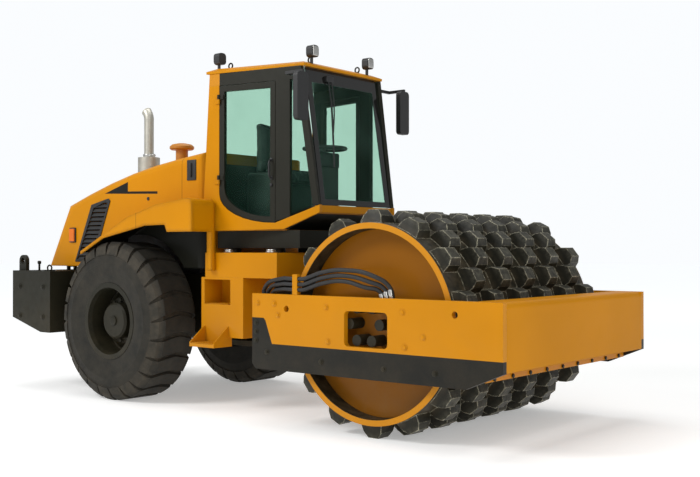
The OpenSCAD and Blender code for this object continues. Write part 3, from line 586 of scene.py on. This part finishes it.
def block(low, high, bevel, segments=2):
    clear()
    middle = [(a + b) / 2 for a, b in zip(low, high)]
    bpy.ops.mesh.primitive_cube_add(size=1, location=middle)
    piece = bpy.context.active_object
    piece.scale = [b - a for a, b in zip(low, high)]
    settle(piece)
    return edit(piece, lambda: bevelAll(bevel, segments))


def rod(start, end, radius, corners, bevel):
    clear()
    start, end = mathutils.Vector(start), mathutils.Vector(end)
    turn = (end - start).to_track_quat("Z", "Y").to_euler()
    bpy.ops.mesh.primitive_cylinder_add(vertices=corners, radius=radius, depth=(end - start).length,
                                        location=(start + end) / 2, rotation=turn)
    piece = settle(bpy.context.active_object)
    return edit(piece, lambda: bevelSharp(bevel, 2, 60))


def ring(middle, turn, radius, wire, corners, wireCorners):
    clear()
    bpy.ops.mesh.primitive_torus_add(location=middle, rotation=turn, major_radius=radius, minor_radius=wire,
                                     major_segments=corners, minor_segments=wireCorners)
    return settle(bpy.context.active_object)


def tubeAlong(points, radius, fineness=4):     # a swept wire through the points
    clear()
    curve = bpy.data.curves.new("wire", "CURVE")
    curve.dimensions = "3D"
    curve.bevel_depth = radius
    curve.bevel_resolution = fineness
    curve.use_fill_caps = True
    line = curve.splines.new("BEZIER")
    line.bezier_points.add(len(points) - 1)
    for knot, point in zip(line.bezier_points, points):
        knot.co = point
        knot.handle_left_type = knot.handle_right_type = "AUTO"
    wire = bpy.data.objects.new("wire", curve)
    bpy.context.scene.collection.objects.link(wire)
    hold(wire)
    bpy.ops.object.convert(target="MESH")
    return edit(bpy.context.active_object, lambda: bpy.ops.mesh.remove_doubles(threshold=0.00005))


def thickened(piece, thickness, offset=-1.0):
    hold(piece)
    wall = piece.modifiers.new("wall", "SOLIDIFY")
    wall.thickness = thickness
    wall.offset = offset
    bpy.ops.object.modifier_apply(modifier="wall")
    return piece


def pierced(piece, border, each=False):     # keeps a border of the sheet, or of each of its faces
    return edit(piece, lambda: bpy.ops.mesh.select_mode(type="FACE"),
                lambda: bpy.ops.mesh.select_all(action="SELECT"),
                lambda: bpy.ops.mesh.inset(thickness=border, use_individual=each),
                lambda: bpy.ops.mesh.delete(type="FACE"))


def copyTo(piece, places):      # copies with their own meshes, moved by each offset
    made = []
    for place in places:
        hold(piece)
        bpy.ops.object.duplicate(linked=False)
        twin = bpy.context.active_object
        twin.location = place
        made.append(settle(twin))
    bpy.data.objects.remove(piece)
    return made


def onSide(piece, sideName):    # modelled on the right, mirrored for the left
    if sideName == "right":
        return piece
    piece.scale = (1, -1, 1)
    return edit(settle(piece))


def joined(pieces):
    clear()
    for piece in pieces:
        piece.select_set(True)
    bpy.context.view_layer.objects.active = pieces[0]
    bpy.ops.object.join()
    return bpy.context.active_object


def done(piece, name, slotName, body, angle=35):
    hold(piece)
    piece.name = name
    bpy.ops.object.shade_smooth_by_angle(angle=math.radians(angle))
    paint(piece, finishes[slotName])
    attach(piece, body)
    return piece


def hexBolt(radius, height):     # head with washer, pointing to -Y, at the origin
    head = rod((0, 0, 0), (0, -height, 0), radius, 6, radius * 0.08)
    washer = rod((0, 0, 0), (0, -height * 0.25, 0), radius * 1.45, 20, radius * 0.06)
    return joined([head, washer])


# bolts on the drum frame's plates, as X and Z
plateBolts = {
    "radius": 0.017, "height": 0.014, "face": 1.15,
    "band": [(0.66, 0.83), (0.66, 0.76), (0.66, 0.69), (0.78, 0.60), (1.35, 0.56), (1.95, 0.55), (2.40, 0.55)],
    "plate": [(0.68, 0.99), (0.86, 0.99), (0.90, 0.90), (1.40, 0.98), (1.42, 0.72), (2.12, 0.97), (2.14, 0.72),
              (2.30, 0.80)],
}
for sideName in sides:
    for group, slotName in (("band", "black_paint"), ("plate", "yellow_paint")):
        bolt = hexBolt(plateBolts["radius"], plateBolts["height"])
        bolts = joined(copyTo(bolt, [(x, -plateBolts["face"], z) for x, z in plateBolts[group]]))
        done(onSide(bolts, sideName), group + "Bolts_" + sideName, slotName, "drum_frame")
print("plate bolts fitted")

# wheel nuts and hub caps
wheelTrim = {
    "x": wheelPlace["x"], "z": wheelPlace["z"],
    "nuts": 12, "ring": 0.192, "nutFace": 0.89, "nutRadius": 0.017, "nutHeight": 0.024,
    "capFace": 0.99, "capRadius": 0.045, "capHeight": 0.012,
}
for sideName in sides:
    places = []
    for i in range(wheelTrim["nuts"]):
        turn = 2 * math.pi * i / wheelTrim["nuts"]
        places.append((wheelTrim["x"] + wheelTrim["ring"] * math.cos(turn), -wheelTrim["nutFace"],
                       wheelTrim["z"] + wheelTrim["ring"] * math.sin(turn)))
    nuts = joined(copyTo(hexBolt(wheelTrim["nutRadius"], wheelTrim["nutHeight"]), places))
    hub = (wheelTrim["x"], -wheelTrim["capFace"], wheelTrim["z"])
    cap = rod(hub, shifted(hub, y=-wheelTrim["capHeight"]), wheelTrim["capRadius"], 24, 0.004)
    done(onSide(joined([nuts, cap]), sideName), "wheelNuts_" + sideName, "black_paint", "wheel_" + sideName)
print("wheel nuts fitted")

# caps on the side tanks
tankCap = {"xs": (-0.16, 0.36), "y": -0.66, "z": 1.39, "radius": 0.042, "height": 0.032, "collar": 0.0504,
           "collarHeight": 0.012}
for sideName in sides:
    caps = []
    for x in tankCap["xs"]:
        foot = (x, tankCap["y"], tankCap["z"])
        caps.append(rod(foot, shifted(foot, z=tankCap["collarHeight"]), tankCap["collar"], 24, 0.003))
        caps.append(rod(shifted(foot, z=tankCap["collarHeight"] - 0.002), shifted(foot, z=tankCap["height"]),
                        tankCap["radius"], 12, 0.005))
    done(onSide(joined(caps), sideName), "tankCaps_" + sideName, "bright_steel", "tractor")
print("tank caps fitted")

# black handle recess and lock on the hood's sides
hoodHandle = {
    "low": (-0.685, -0.690, 2.055), "high": (-0.565, -0.674, 2.245),
    "grip": (-0.625, -0.697, 2.085), "gripLength": 0.130, "gripRadius": 0.011,
    "lock": (-1.24, -0.68, 1.905), "lockHeight": 0.008, "lockRadius": 0.017,
}
for sideName in sides:
    plate = block(hoodHandle["low"], hoodHandle["high"], 0.007, 3)
    grip = rod(hoodHandle["grip"], shifted(hoodHandle["grip"], z=hoodHandle["gripLength"]),
               hoodHandle["gripRadius"], 12, 0.004)
    lock = rod(hoodHandle["lock"], shifted(hoodHandle["lock"], y=-hoodHandle["lockHeight"]),
               hoodHandle["lockRadius"], 20, 0.003)
    done(onSide(joined([plate, grip, lock]), sideName), "hoodHandle_" + sideName, "black_plastic", "hood")
print("hood handles fitted")

# wiper on the windscreen, as Y and Z on its outer face
wiper = {
    "screenFoot": (0.7825, 1.8), "screenLean": 0.18 / 1.195,
    "pivot": (-0.20, 2.915), "elbow": (-0.215, 2.66), "joint": (-0.235, 2.44), "spread": 0.022, "stand": 0.030,
    "bladeTop": (-0.20, 2.74), "bladeLow": (-0.27, 2.13), "armRadius": 0.006, "bladeRadius": 0.009,
    "motorLow": (-0.02, -0.05, -0.025), "motorHigh": (0.03, 0.05, 0.03),
}


def screenPoint(y, z, off=0.0):
    footX, footZ = wiper["screenFoot"]
    return (footX - wiper["screenLean"] * (z - footZ) + off, y, z)


arms = []
for shift in (-wiper["spread"], wiper["spread"]):
    pivotY, pivotZ = wiper["pivot"]
    elbowY, elbowZ = wiper["elbow"]
    arms.append(tubeAlong([screenPoint(pivotY + shift, pivotZ, 0.02),
                           screenPoint(elbowY + shift * 0.8, elbowZ, wiper["stand"]),
                           screenPoint(*wiper["joint"], wiper["stand"] - 0.008)], wiper["armRadius"]))
blade = tubeAlong([screenPoint(*wiper["bladeTop"], 0.012), screenPoint(*wiper["joint"], 0.015),
                   screenPoint(*wiper["bladeLow"], 0.012)], wiper["bladeRadius"])
pivot = screenPoint(*wiper["pivot"])
motor = block(shifted(pivot, *wiper["motorLow"]), shifted(pivot, *wiper["motorHigh"]), 0.010, 3)
done(joined(arms + [blade, motor]), "wiper", "black_plastic", "tractor")
print("wiper fitted")

# lenses on the roof lamps, as the lamp's face in X and its Y
lampLens = {"front": (0.6325, -0.39), "rear": (-0.3325, -0.64), "low": 3.100, "high": 3.185, "half": 0.036,
            "sunk": 0.004, "proud": 0.008}
for sideName in sides:
    lenses = []
    for place, out in (("front", 1), ("rear", -1)):
        face, y = lampLens[place]
        back, front = sorted((face - out * lampLens["sunk"], face + out * lampLens["proud"]))
        lenses.append(block((back, y - lampLens["half"], lampLens["low"]),
                            (front, y + lampLens["half"], lampLens["high"]), 0.005, 3))
    done(onSide(joined(lenses), sideName), "lampLens_" + sideName, "bright_steel", "tractor")
print("lamp lenses fitted")

# lifting eyes on the roof
roofEye = {"places": [(-0.24, -0.56), (0.52, -0.33), (-0.24, 0.56), (0.52, 0.33)], "top": 3.047,
           "ring": 0.024, "wire": 0.007, "boss": 0.020, "bossHeight": 0.016, "sunk": 0.004}
eyes = []
for x, y in roofEye["places"]:
    foot = (x, y, roofEye["top"])
    eyes.append(rod(shifted(foot, z=-roofEye["sunk"]), shifted(foot, z=roofEye["bossHeight"]),
                    roofEye["boss"], 20, 0.004))
    eyes.append(ring(shifted(foot, z=roofEye["bossHeight"] - 0.002 + roofEye["ring"]), (math.pi / 2, 0, 0),
                     roofEye["ring"], roofEye["wire"], 28, 10))
done(joined(eyes), "roofEyes", "black_paint", "tractor")
print("roof eyes fitted")

# hoses on the drum frame, smooth along the solid's route
hoseForm = {
    "count": 3, "radius": 0.017, "gap": 0.042, "ferrule": 0.0205, "nutHeight": 0.030,
    "beam": 0.6165, "beamTop": 1.0003, "post": 1.0755, "drum": 1.7325, "low": 1.105, "plateTop": 1.065,
    "mid": -1.1275, "behind": -1.076,   # Y in the post, and behind the side plate
}


def hoseRoute(i):
    z = hoseForm["low"] + i * hoseForm["gap"]
    start = hoseForm["beam"] + 0.150 - i * hoseForm["gap"]
    front = hoseForm["drum"] + 0.165 + i * hoseForm["gap"]
    mid, behind = hoseForm["mid"], hoseForm["behind"]
    points = [(start, behind, hoseForm["beamTop"] + h) for h in (0, 0.025, 0.055 + 0.022 * i)]
    points.append((hoseForm["post"] - 0.150, mid + 0.010, z))
    points += [(hoseForm["post"] + x, mid, z) for x in (-0.070, -0.040, 0.040, 0.070)]      # through the post
    points += [(hoseForm["post"] + 0.270, mid, z + 0.055), (hoseForm["drum"] - 0.173, mid, z + 0.075),
               (front - 0.150, mid + 0.008, z + 0.035),
               (front - 0.025, behind - 0.006, hoseForm["plateTop"] + 0.038 + 0.018 * i),
               (front, behind, hoseForm["plateTop"] - 0.060)]
    return points


tubes, ferrules = [], []
for i in range(hoseForm["count"]):
    route = hoseRoute(i)
    tubes.append(tubeAlong(route, hoseForm["radius"], 5))
    above, end = mathutils.Vector(route[-2]), mathutils.Vector(route[-1])
    ferrules.append(rod(above.lerp(end, 0.10), above.lerp(end, 0.62), hoseForm["ferrule"], 20, 0.003))
    ferrules.append(rod(route[0], shifted(route[0], z=hoseForm["nutHeight"]), hoseForm["ferrule"], 6, 0.002))
hoses = done(joined(tubes), "hosesSmooth", "rubber_black", "drum_frame", 60)
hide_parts("drum_hoses")
done(joined(ferrules), "hoseFerrules", "bright_steel", "drum_frame")
print("hoses run")

# driver's seat: two cushions blown up as cloth, on a pedestal; X and Z from the foot
seatForm = {
    "x": -0.0175, "floor": 1.635, "half": 0.205, "pedestalHalf": 0.15, "round": 0.025,
    "base": ((-0.19, 0.40), (0.20, 0.485)), "back": ((-0.265, 0.49), (-0.185, 0.97)),
    "pedestal": ((-0.15, 0.0), (0.15, 0.40)), "tray": ((-0.20, 0.375), (0.20, 0.400)),
    "voxel": 0.006, "pressure": 4.0, "frames": 20, "cap": 0.022, "fill": 0.8,
}


def seatBlock(part, half, bevel, segments):
    (x0, z0), (x1, z1) = seatForm[part]
    x, z = seatForm["x"], seatForm["floor"]
    return block((x + x0, -half, z + z0), (x + x1, half, z + z1), bevel, segments)


def blown(pad):
    hold(pad)
    pad.data.remesh_voxel_size = seatForm["voxel"]
    bpy.ops.object.voxel_remesh()
    before = [point.co.copy() for point in pad.data.vertices]
    cloth = pad.modifiers.new("cloth", "CLOTH")
    cloth.settings.use_pressure = True
    cloth.settings.uniform_pressure_force = seatForm["pressure"]
    cloth.settings.effector_weights.gravity = 0
    for number in range(1, seatForm["frames"] + 1):
        bpy.context.scene.frame_set(number)
    bpy.ops.object.modifier_apply(modifier="cloth")
    bpy.context.scene.frame_set(1)
    for point, old in zip(pad.data.vertices, before):   # no point moves further than the cap
        move = point.co - old
        if move.length > seatForm["cap"]:
            point.co = old + move.normalized() * seatForm["cap"]
    return edit(pad, lambda: bpy.ops.mesh.vertices_smooth(factor=0.5, repeat=3))


def cushion(part):
    pad = seatBlock(part, seatForm["half"], seatForm["round"], 4)
    return blown(pad)


seatSoft = done(joined([cushion("base"), cushion("back")]), "seatSoft", "seat_vinyl", "tractor", 60)
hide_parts("seat")
pedestal = seatBlock("pedestal", seatForm["pedestalHalf"], 0.02, 3)
tray = seatBlock("tray", seatForm["half"], 0.008, 3)
done(joined([pedestal, tray]), "seatPedestal", "black_plastic", "tractor")
print("seat fitted")

# mirror glass, on the faces towards the driver
mirrorPane = {"low": (0.7285, -0.775, 2.515), "high": (0.7355, -0.665, 2.890)}
for sideName in sides:
    pane = block(mirrorPane["low"], mirrorPane["high"], 0.003)
    done(onSide(pane, sideName), "mirrorPane_" + sideName, "chrome_rod", "tractor")
print("mirror panes fitted")

# door handles: a bow on two feet with a lock, built along the wall and turned with it
doorHandle = {
    "corner": (-0.4075, -0.75, 0), "taper": 10.30, "along": 0.742, "low": 2.04, "high": 2.20, "stand": 0.038,
    "bowRadius": 0.009, "footRadius": 0.016, "footHeight": 0.008, "lockZ": 1.98, "lockRadius": 0.014,
    "lockHeight": 0.012, "sunk": 0.002,
}


def onWall(y, z):
    return (doorHandle["along"], y, z)


for sideName in sides:
    low, high, out, sunk = doorHandle["low"], doorHandle["high"], -doorHandle["stand"], doorHandle["sunk"]
    bow = tubeAlong([onWall(sunk, low), onWall(out * 0.8, low + 0.015), onWall(out, (low + high) / 2),
                     onWall(out * 0.8, high - 0.015), onWall(sunk, high)], doorHandle["bowRadius"])
    feet = [rod(onWall(sunk, z), onWall(-doorHandle["footHeight"], z), doorHandle["footRadius"], 20, 0.003)
            for z in (low, high)]
    lock = rod(onWall(sunk, doorHandle["lockZ"]), onWall(-doorHandle["lockHeight"], doorHandle["lockZ"]),
               doorHandle["lockRadius"], 20, 0.003)
    handle = joined([bow, lock] + feet)
    handle.location = doorHandle["corner"]
    handle.rotation_euler = (0, 0, math.radians(doorHandle["taper"]))
    done(onSide(settle(handle), sideName), "doorHandle_" + sideName, "black_plastic", "door_" + sideName)
print("door handles fitted")

# consoles beside the seat, with drive levers, and an instrument pod on the column
console = {
    "inner": 0.27, "outer": 0.40, "back": -0.20, "front": 0.18, "low": 1.640, "high": 2.12,
    "levers": [(0.10, -0.335, 0.20), (0.02, -0.335, 0.13)],     # X, Y and height
    "leverRadius": 0.007, "bootRadius": 0.026, "knobRadius": 0.021,
    "podLow": (0.405, -0.16, 2.16), "podHigh": (0.455, 0.16, 2.30),
}
controls, knobs = [], []
for y0, y1 in ((-console["outer"], -console["inner"]), (console["inner"], console["outer"])):
    controls.append(block((console["back"], y0, console["low"]), (console["front"], y1, console["high"]),
                          0.030, 4))
for x, y, tall in console["levers"]:
    foot = (x, y, console["high"])
    top = shifted(foot, x=0.03, z=tall)
    controls.append(tubeAlong([shifted(foot, z=-0.01), shifted(foot, x=0.01, z=tall * 0.5), top],
                              console["leverRadius"]))
    controls.append(rod(shifted(foot, z=-0.002), shifted(foot, z=0.03), console["bootRadius"], 20, 0.010))
    knobs.append(rod(shifted(top, z=-0.01), shifted(top, x=0.015, z=0.055), console["knobRadius"], 20, 0.009))
pod = block(console["podLow"], console["podHigh"], 0.020, 4)
done(joined(controls + knobs + [pod]), "cabControls", "black_plastic", "tractor")
print("cab controls fitted")

# perforated treads in the footholds and on the basket steps
tread = {
    "x": (-0.3645, -0.0805), "columns": 8, "rows": 5, "web": 0.008, "rise": 0.006, "proud": 0.001,
    "places": [(-0.922, -0.765, 0.590), (-0.742, -0.560, 0.930)],   # outer and inner Y, and Z
}
for sideName in sides:
    plates = []
    for outer, inner, level in tread["places"]:
        clear()
        middle = (sum(tread["x"]) / 2, (outer + inner) / 2, level + tread["proud"])
        bpy.ops.mesh.primitive_grid_add(x_subdivisions=tread["columns"], y_subdivisions=tread["rows"], size=1,
                                        location=middle)
        plate = bpy.context.active_object
        plate.scale = (tread["x"][1] - tread["x"][0], inner - outer, 1)
        plates.append(thickened(pierced(settle(plate), tread["web"], True), tread["rise"], 1.0))
    done(onSide(joined(plates), sideName), "treads_" + sideName, "yellow_paint", "tractor")
print("treads laid")

# clamp on the exhaust pipe, and a smooth sleeve with a rolled lip over its bend
stack = {
    "x": -2.0475, "clampLow": 2.395, "clampHeight": 0.030, "clampRadius": 0.062,
    "ear": (0.055, 0.090), "earHalf": 0.012, "screwOut": 0.078, "screwHalf": 0.024, "screwRadius": 0.007,
    "bendLow": 2.790, "bend": 0.13, "turn": 45, "sleeve": 0.0508, "sleeveWall": 0.0015, "lip": 0.005,
}
clampFoot = (stack["x"], 0, stack["clampLow"])
collar = rod(clampFoot, shifted(clampFoot, z=stack["clampHeight"]), stack["clampRadius"], 32, 0.004)
ear = block(shifted(clampFoot, stack["ear"][0], -stack["earHalf"]),
            shifted(clampFoot, stack["ear"][1], stack["earHalf"], stack["clampHeight"]), 0.003)
screwMiddle = shifted(clampFoot, x=stack["screwOut"], z=stack["clampHeight"] / 2)
screw = rod(shifted(screwMiddle, y=-stack["screwHalf"]), shifted(screwMiddle, y=stack["screwHalf"]),
            stack["screwRadius"], 6, 0.001)
done(joined([collar, ear, screw]), "exhaustClamp", "bright_steel", "hood")
bendFoot = (stack["x"], 0, stack["bendLow"])
bendMiddle = shifted(bendFoot, x=-stack["bend"])
swing = math.radians(stack["turn"])
clear()
bpy.ops.mesh.primitive_circle_add(vertices=32, radius=stack["sleeve"], location=bendFoot)
sleeve = settle(bpy.context.active_object)
edit(sleeve, lambda: bpy.ops.mesh.spin(steps=12, angle=swing, axis=(0, 1, 0), center=bendMiddle))
thickened(sleeve, stack["sleeveWall"])
mouth = shifted(bendMiddle, x=stack["bend"] * math.cos(swing), z=stack["bend"] * math.sin(swing))
lip = ring(mouth, (0, -swing, 0), stack["sleeve"] - 0.002, stack["lip"], 32, 8)
sleeve = done(joined([sleeve, lip]), "exhaustSleeve", "bright_steel", "hood", 50)
paint(sleeve, special["exhaust_stack"])
print("exhaust clamp and sleeve fitted")

# bolts along the front scraper bar
scraperBolts = {"x": 2.7875, "z": 0.530, "pitch": 0.25, "eachSide": 4, "radius": 0.016, "height": 0.012}
heads = []
for i in range(-scraperBolts["eachSide"], scraperBolts["eachSide"] + 1):
    foot = (scraperBolts["x"], i * scraperBolts["pitch"], scraperBolts["z"])
    heads.append(rod(foot, shifted(foot, x=scraperBolts["height"]), scraperBolts["radius"], 6, 0.002))
done(joined(heads), "scraperBolts", "black_paint", "drum_frame")
print("scraper bolts fitted")

# louvred panel on the hood's sloping back, built upright and leaned with it
backPanel = {
    "foot": (-2.8675, 0, 1.245), "lean": 27.93, "half": 0.42, "low": 0.12, "high": 0.57,
    "border": 0.030, "wall": 0.014, "proud": 0.006, "sheet": (-0.003, 0.002), "sheetInset": 0.01,
    "slats": 11, "slatTurn": 28, "slatHalf": 0.016, "slatThick": 0.004, "slatOut": 0.009,
}
low, high, half, border = (backPanel[key] for key in ("low", "high", "half", "border"))
clear()
bpy.ops.mesh.primitive_plane_add(size=1, location=(-backPanel["proud"], 0, (low + high) / 2),
                                 rotation=(0, -math.pi / 2, 0))
rim = bpy.context.active_object
rim.scale = (high - low, 2 * half, 1)
thickened(pierced(settle(rim), border), backPanel["wall"], 0.0)
edit(rim, lambda: bevelSharp(0.003, 2, 40))
inset = backPanel["sheetInset"]
slats = [rim, block((backPanel["sheet"][0], inset - half, low + inset),
                    (backPanel["sheet"][1], half - inset, high - inset), 0.001, 1)]
pitch = (high - low - 2 * border) / backPanel["slats"]
for i in range(backPanel["slats"]):
    slat = block((-backPanel["slatThick"] / 2, border - half, -backPanel["slatHalf"]),
                 (backPanel["slatThick"] / 2, half - border, backPanel["slatHalf"]), 0.0012, 1)
    slat.rotation_euler = (0, math.radians(backPanel["slatTurn"]), 0)
    slat.location = (-backPanel["slatOut"], 0, low + border + (i + 0.5) * pitch)
    slats.append(settle(slat))
panel = joined(slats)
panel.rotation_euler = (0, math.radians(backPanel["lean"]), 0)
panel.location = backPanel["foot"]
done(settle(panel), "hoodBackPanel", "black_plastic", "hood")
print("hood back panel fitted")

# valve cover, studs and manifold on the engine, seen with the hood up
engineTop = {
    "top": 1.75, "sunk": 0.003, "x": (-1.90, -1.05), "coverHalf": 0.105, "coverHeight": 0.060,
    "studs": 6, "studFirst": 0.07, "studPitch": 0.142, "studY": 0.075, "studRadius": 0.011,
    "runners": (-1.80, -1.62, -1.44, -1.26, -1.08), "runnerRadius": 0.024,
    "manifold": (-1.88, -1.02), "manifoldY": 0.245, "manifoldRadius": 0.040, "capX": -1.16, "capRadius": 0.032,
}
top = engineTop["top"]
cover = block((engineTop["x"][0], -engineTop["coverHalf"], top - engineTop["sunk"]),
              (engineTop["x"][1], engineTop["coverHalf"], top + engineTop["coverHeight"]), 0.022, 4)
coverTop = top + engineTop["coverHeight"] - 0.002
studs = []
for i in range(engineTop["studs"]):
    for y in (-engineTop["studY"], engineTop["studY"]):
        foot = (engineTop["x"][0] + engineTop["studFirst"] + i * engineTop["studPitch"], y, coverTop)
        studs.append(rod(foot, shifted(foot, z=0.012), engineTop["studRadius"], 6, 0.001))
runners = [tubeAlong([(x, 0.10, top + 0.02), (x, 0.19, top + 0.035), (x, 0.24, top + 0.030)],
                     engineTop["runnerRadius"]) for x in engineTop["runners"]]
ends = [(x, engineTop["manifoldY"], top + 0.035) for x in engineTop["manifold"]]
manifold = rod(*ends, engineTop["manifoldRadius"], 24, 0.012)
capFoot = (engineTop["capX"], 0, coverTop)
oilCap = rod(capFoot, shifted(capFoot, z=0.034), engineTop["capRadius"], 12, 0.006)
done(joined([cover, manifold, oilCap] + studs + runners), "engineTop", "engine_grey", "tractor")

# air filter beside the cover, on two feet, with a duct to the engine
airFilter = {"x": (-1.70, -1.25), "y": -0.20, "z": 1.835, "radius": 0.070, "bands": (-1.62, -1.36),
             "bandWidth": 0.022, "bandRadius": 0.075, "footHalf": 0.05, "ductRadius": 0.036}
y, z = airFilter["y"], airFilter["z"]
canister = rod((airFilter["x"][0], y, z), (airFilter["x"][1], y, z), airFilter["radius"], 32, 0.014)
bands = [rod((x, y, z), (x + airFilter["bandWidth"], y, z), airFilter["bandRadius"], 32, 0.002)
         for x in airFilter["bands"]]
feet = [block((x - 0.02, y - airFilter["footHalf"], top - engineTop["sunk"]),
              (x + 0.04, y + airFilter["footHalf"], z - 0.040), 0.006) for x in airFilter["bands"]]
duct = tubeAlong([(-1.26, y, z), (-1.08, y, z), (-0.99, -0.12, z - 0.02), (-0.98, 0.0, top - 0.01)],
                 airFilter["ductRadius"], 5)
done(joined([canister, duct] + bands + feet), "engineFilter", "black_plastic", "tractor")

# radiator behind the engine
radiator = {
    "coreLow": (-2.28, -0.42, 1.180), "coreHigh": (-2.18, 0.42, 1.72),
    "tankLow": (-2.29, -0.44, 1.70), "tankHigh": (-2.17, 0.44, 1.78),
    "filler": (-2.230, 0.28, 1.775), "fillerHeight": 0.040, "fillerRadius": 0.034,
}
core = block(radiator["coreLow"], radiator["coreHigh"], 0.012, 3)
tankTop = block(radiator["tankLow"], radiator["tankHigh"], 0.020, 3)
filler = rod(radiator["filler"], shifted(radiator["filler"], z=radiator["fillerHeight"]),
             radiator["fillerRadius"], 12, 0.005)
done(joined([core, tankTop, filler]), "radiator", "black_paint", "tractor")
print("engine dressed")

# bolts, a hood latch and a pin on the bumper
bumperTrim = {
    "face": 1.05, "xs": (-2.82, -2.42), "zs": (0.74, 1.04), "boltRadius": 0.020, "boltHeight": 0.016,
    "top": 1.20, "sunk": 0.002, "latch": (-2.44, -2.34), "latchY": (-1.02, -0.96), "latchHeight": 0.012,
    "hook": (-2.42, -2.36), "hookHeight": 0.045, "hookRadius": 0.008, "pin": (-2.70, -0.90, 1.20),
    "pinRadius": 0.011, "knobRadius": 0.019,
}
for sideName in sides:
    places = [(x, -bumperTrim["face"], z) for x in bumperTrim["xs"] for z in bumperTrim["zs"]]
    bolts = copyTo(hexBolt(bumperTrim["boltRadius"], bumperTrim["boltHeight"]), places)
    top, (y0, y1) = bumperTrim["top"], bumperTrim["latchY"]
    plinth = block((bumperTrim["latch"][0], y0, top - bumperTrim["sunk"]),
                   (bumperTrim["latch"][1], y1, top + bumperTrim["latchHeight"]), 0.004)
    (x0, x1), y, rise = bumperTrim["hook"], (y0 + y1) / 2, top + bumperTrim["hookHeight"]
    hook = tubeAlong([(x0, y, top + 0.005), (x0, y, rise), (x1, y, rise), (x1, y, top + 0.005)],
                     bumperTrim["hookRadius"])
    foot = bumperTrim["pin"]
    pin = rod(shifted(foot, z=-bumperTrim["sunk"]), shifted(foot, z=0.075), bumperTrim["pinRadius"], 16, 0.002)
    knob = rod(shifted(foot, z=0.066), shifted(foot, z=0.100), bumperTrim["knobRadius"], 20, 0.009)
    trim = joined(bolts + [plinth, hook, pin, knob])
    done(onSide(trim, sideName), "bumperTrim_" + sideName, "black_paint", "tractor")
print("bumper trim fitted")

# black rims behind the tail lamps
lampRim = {"low": (-2.4785, -0.694, 1.489), "high": (-2.3765, -0.679, 1.641)}
for sideName in sides:
    rim = block(lampRim["low"], lampRim["high"], 0.004)
    done(onSide(rim, sideName), "lampRim_" + sideName, "black_plastic", "hood")
print("lamp rims fitted")
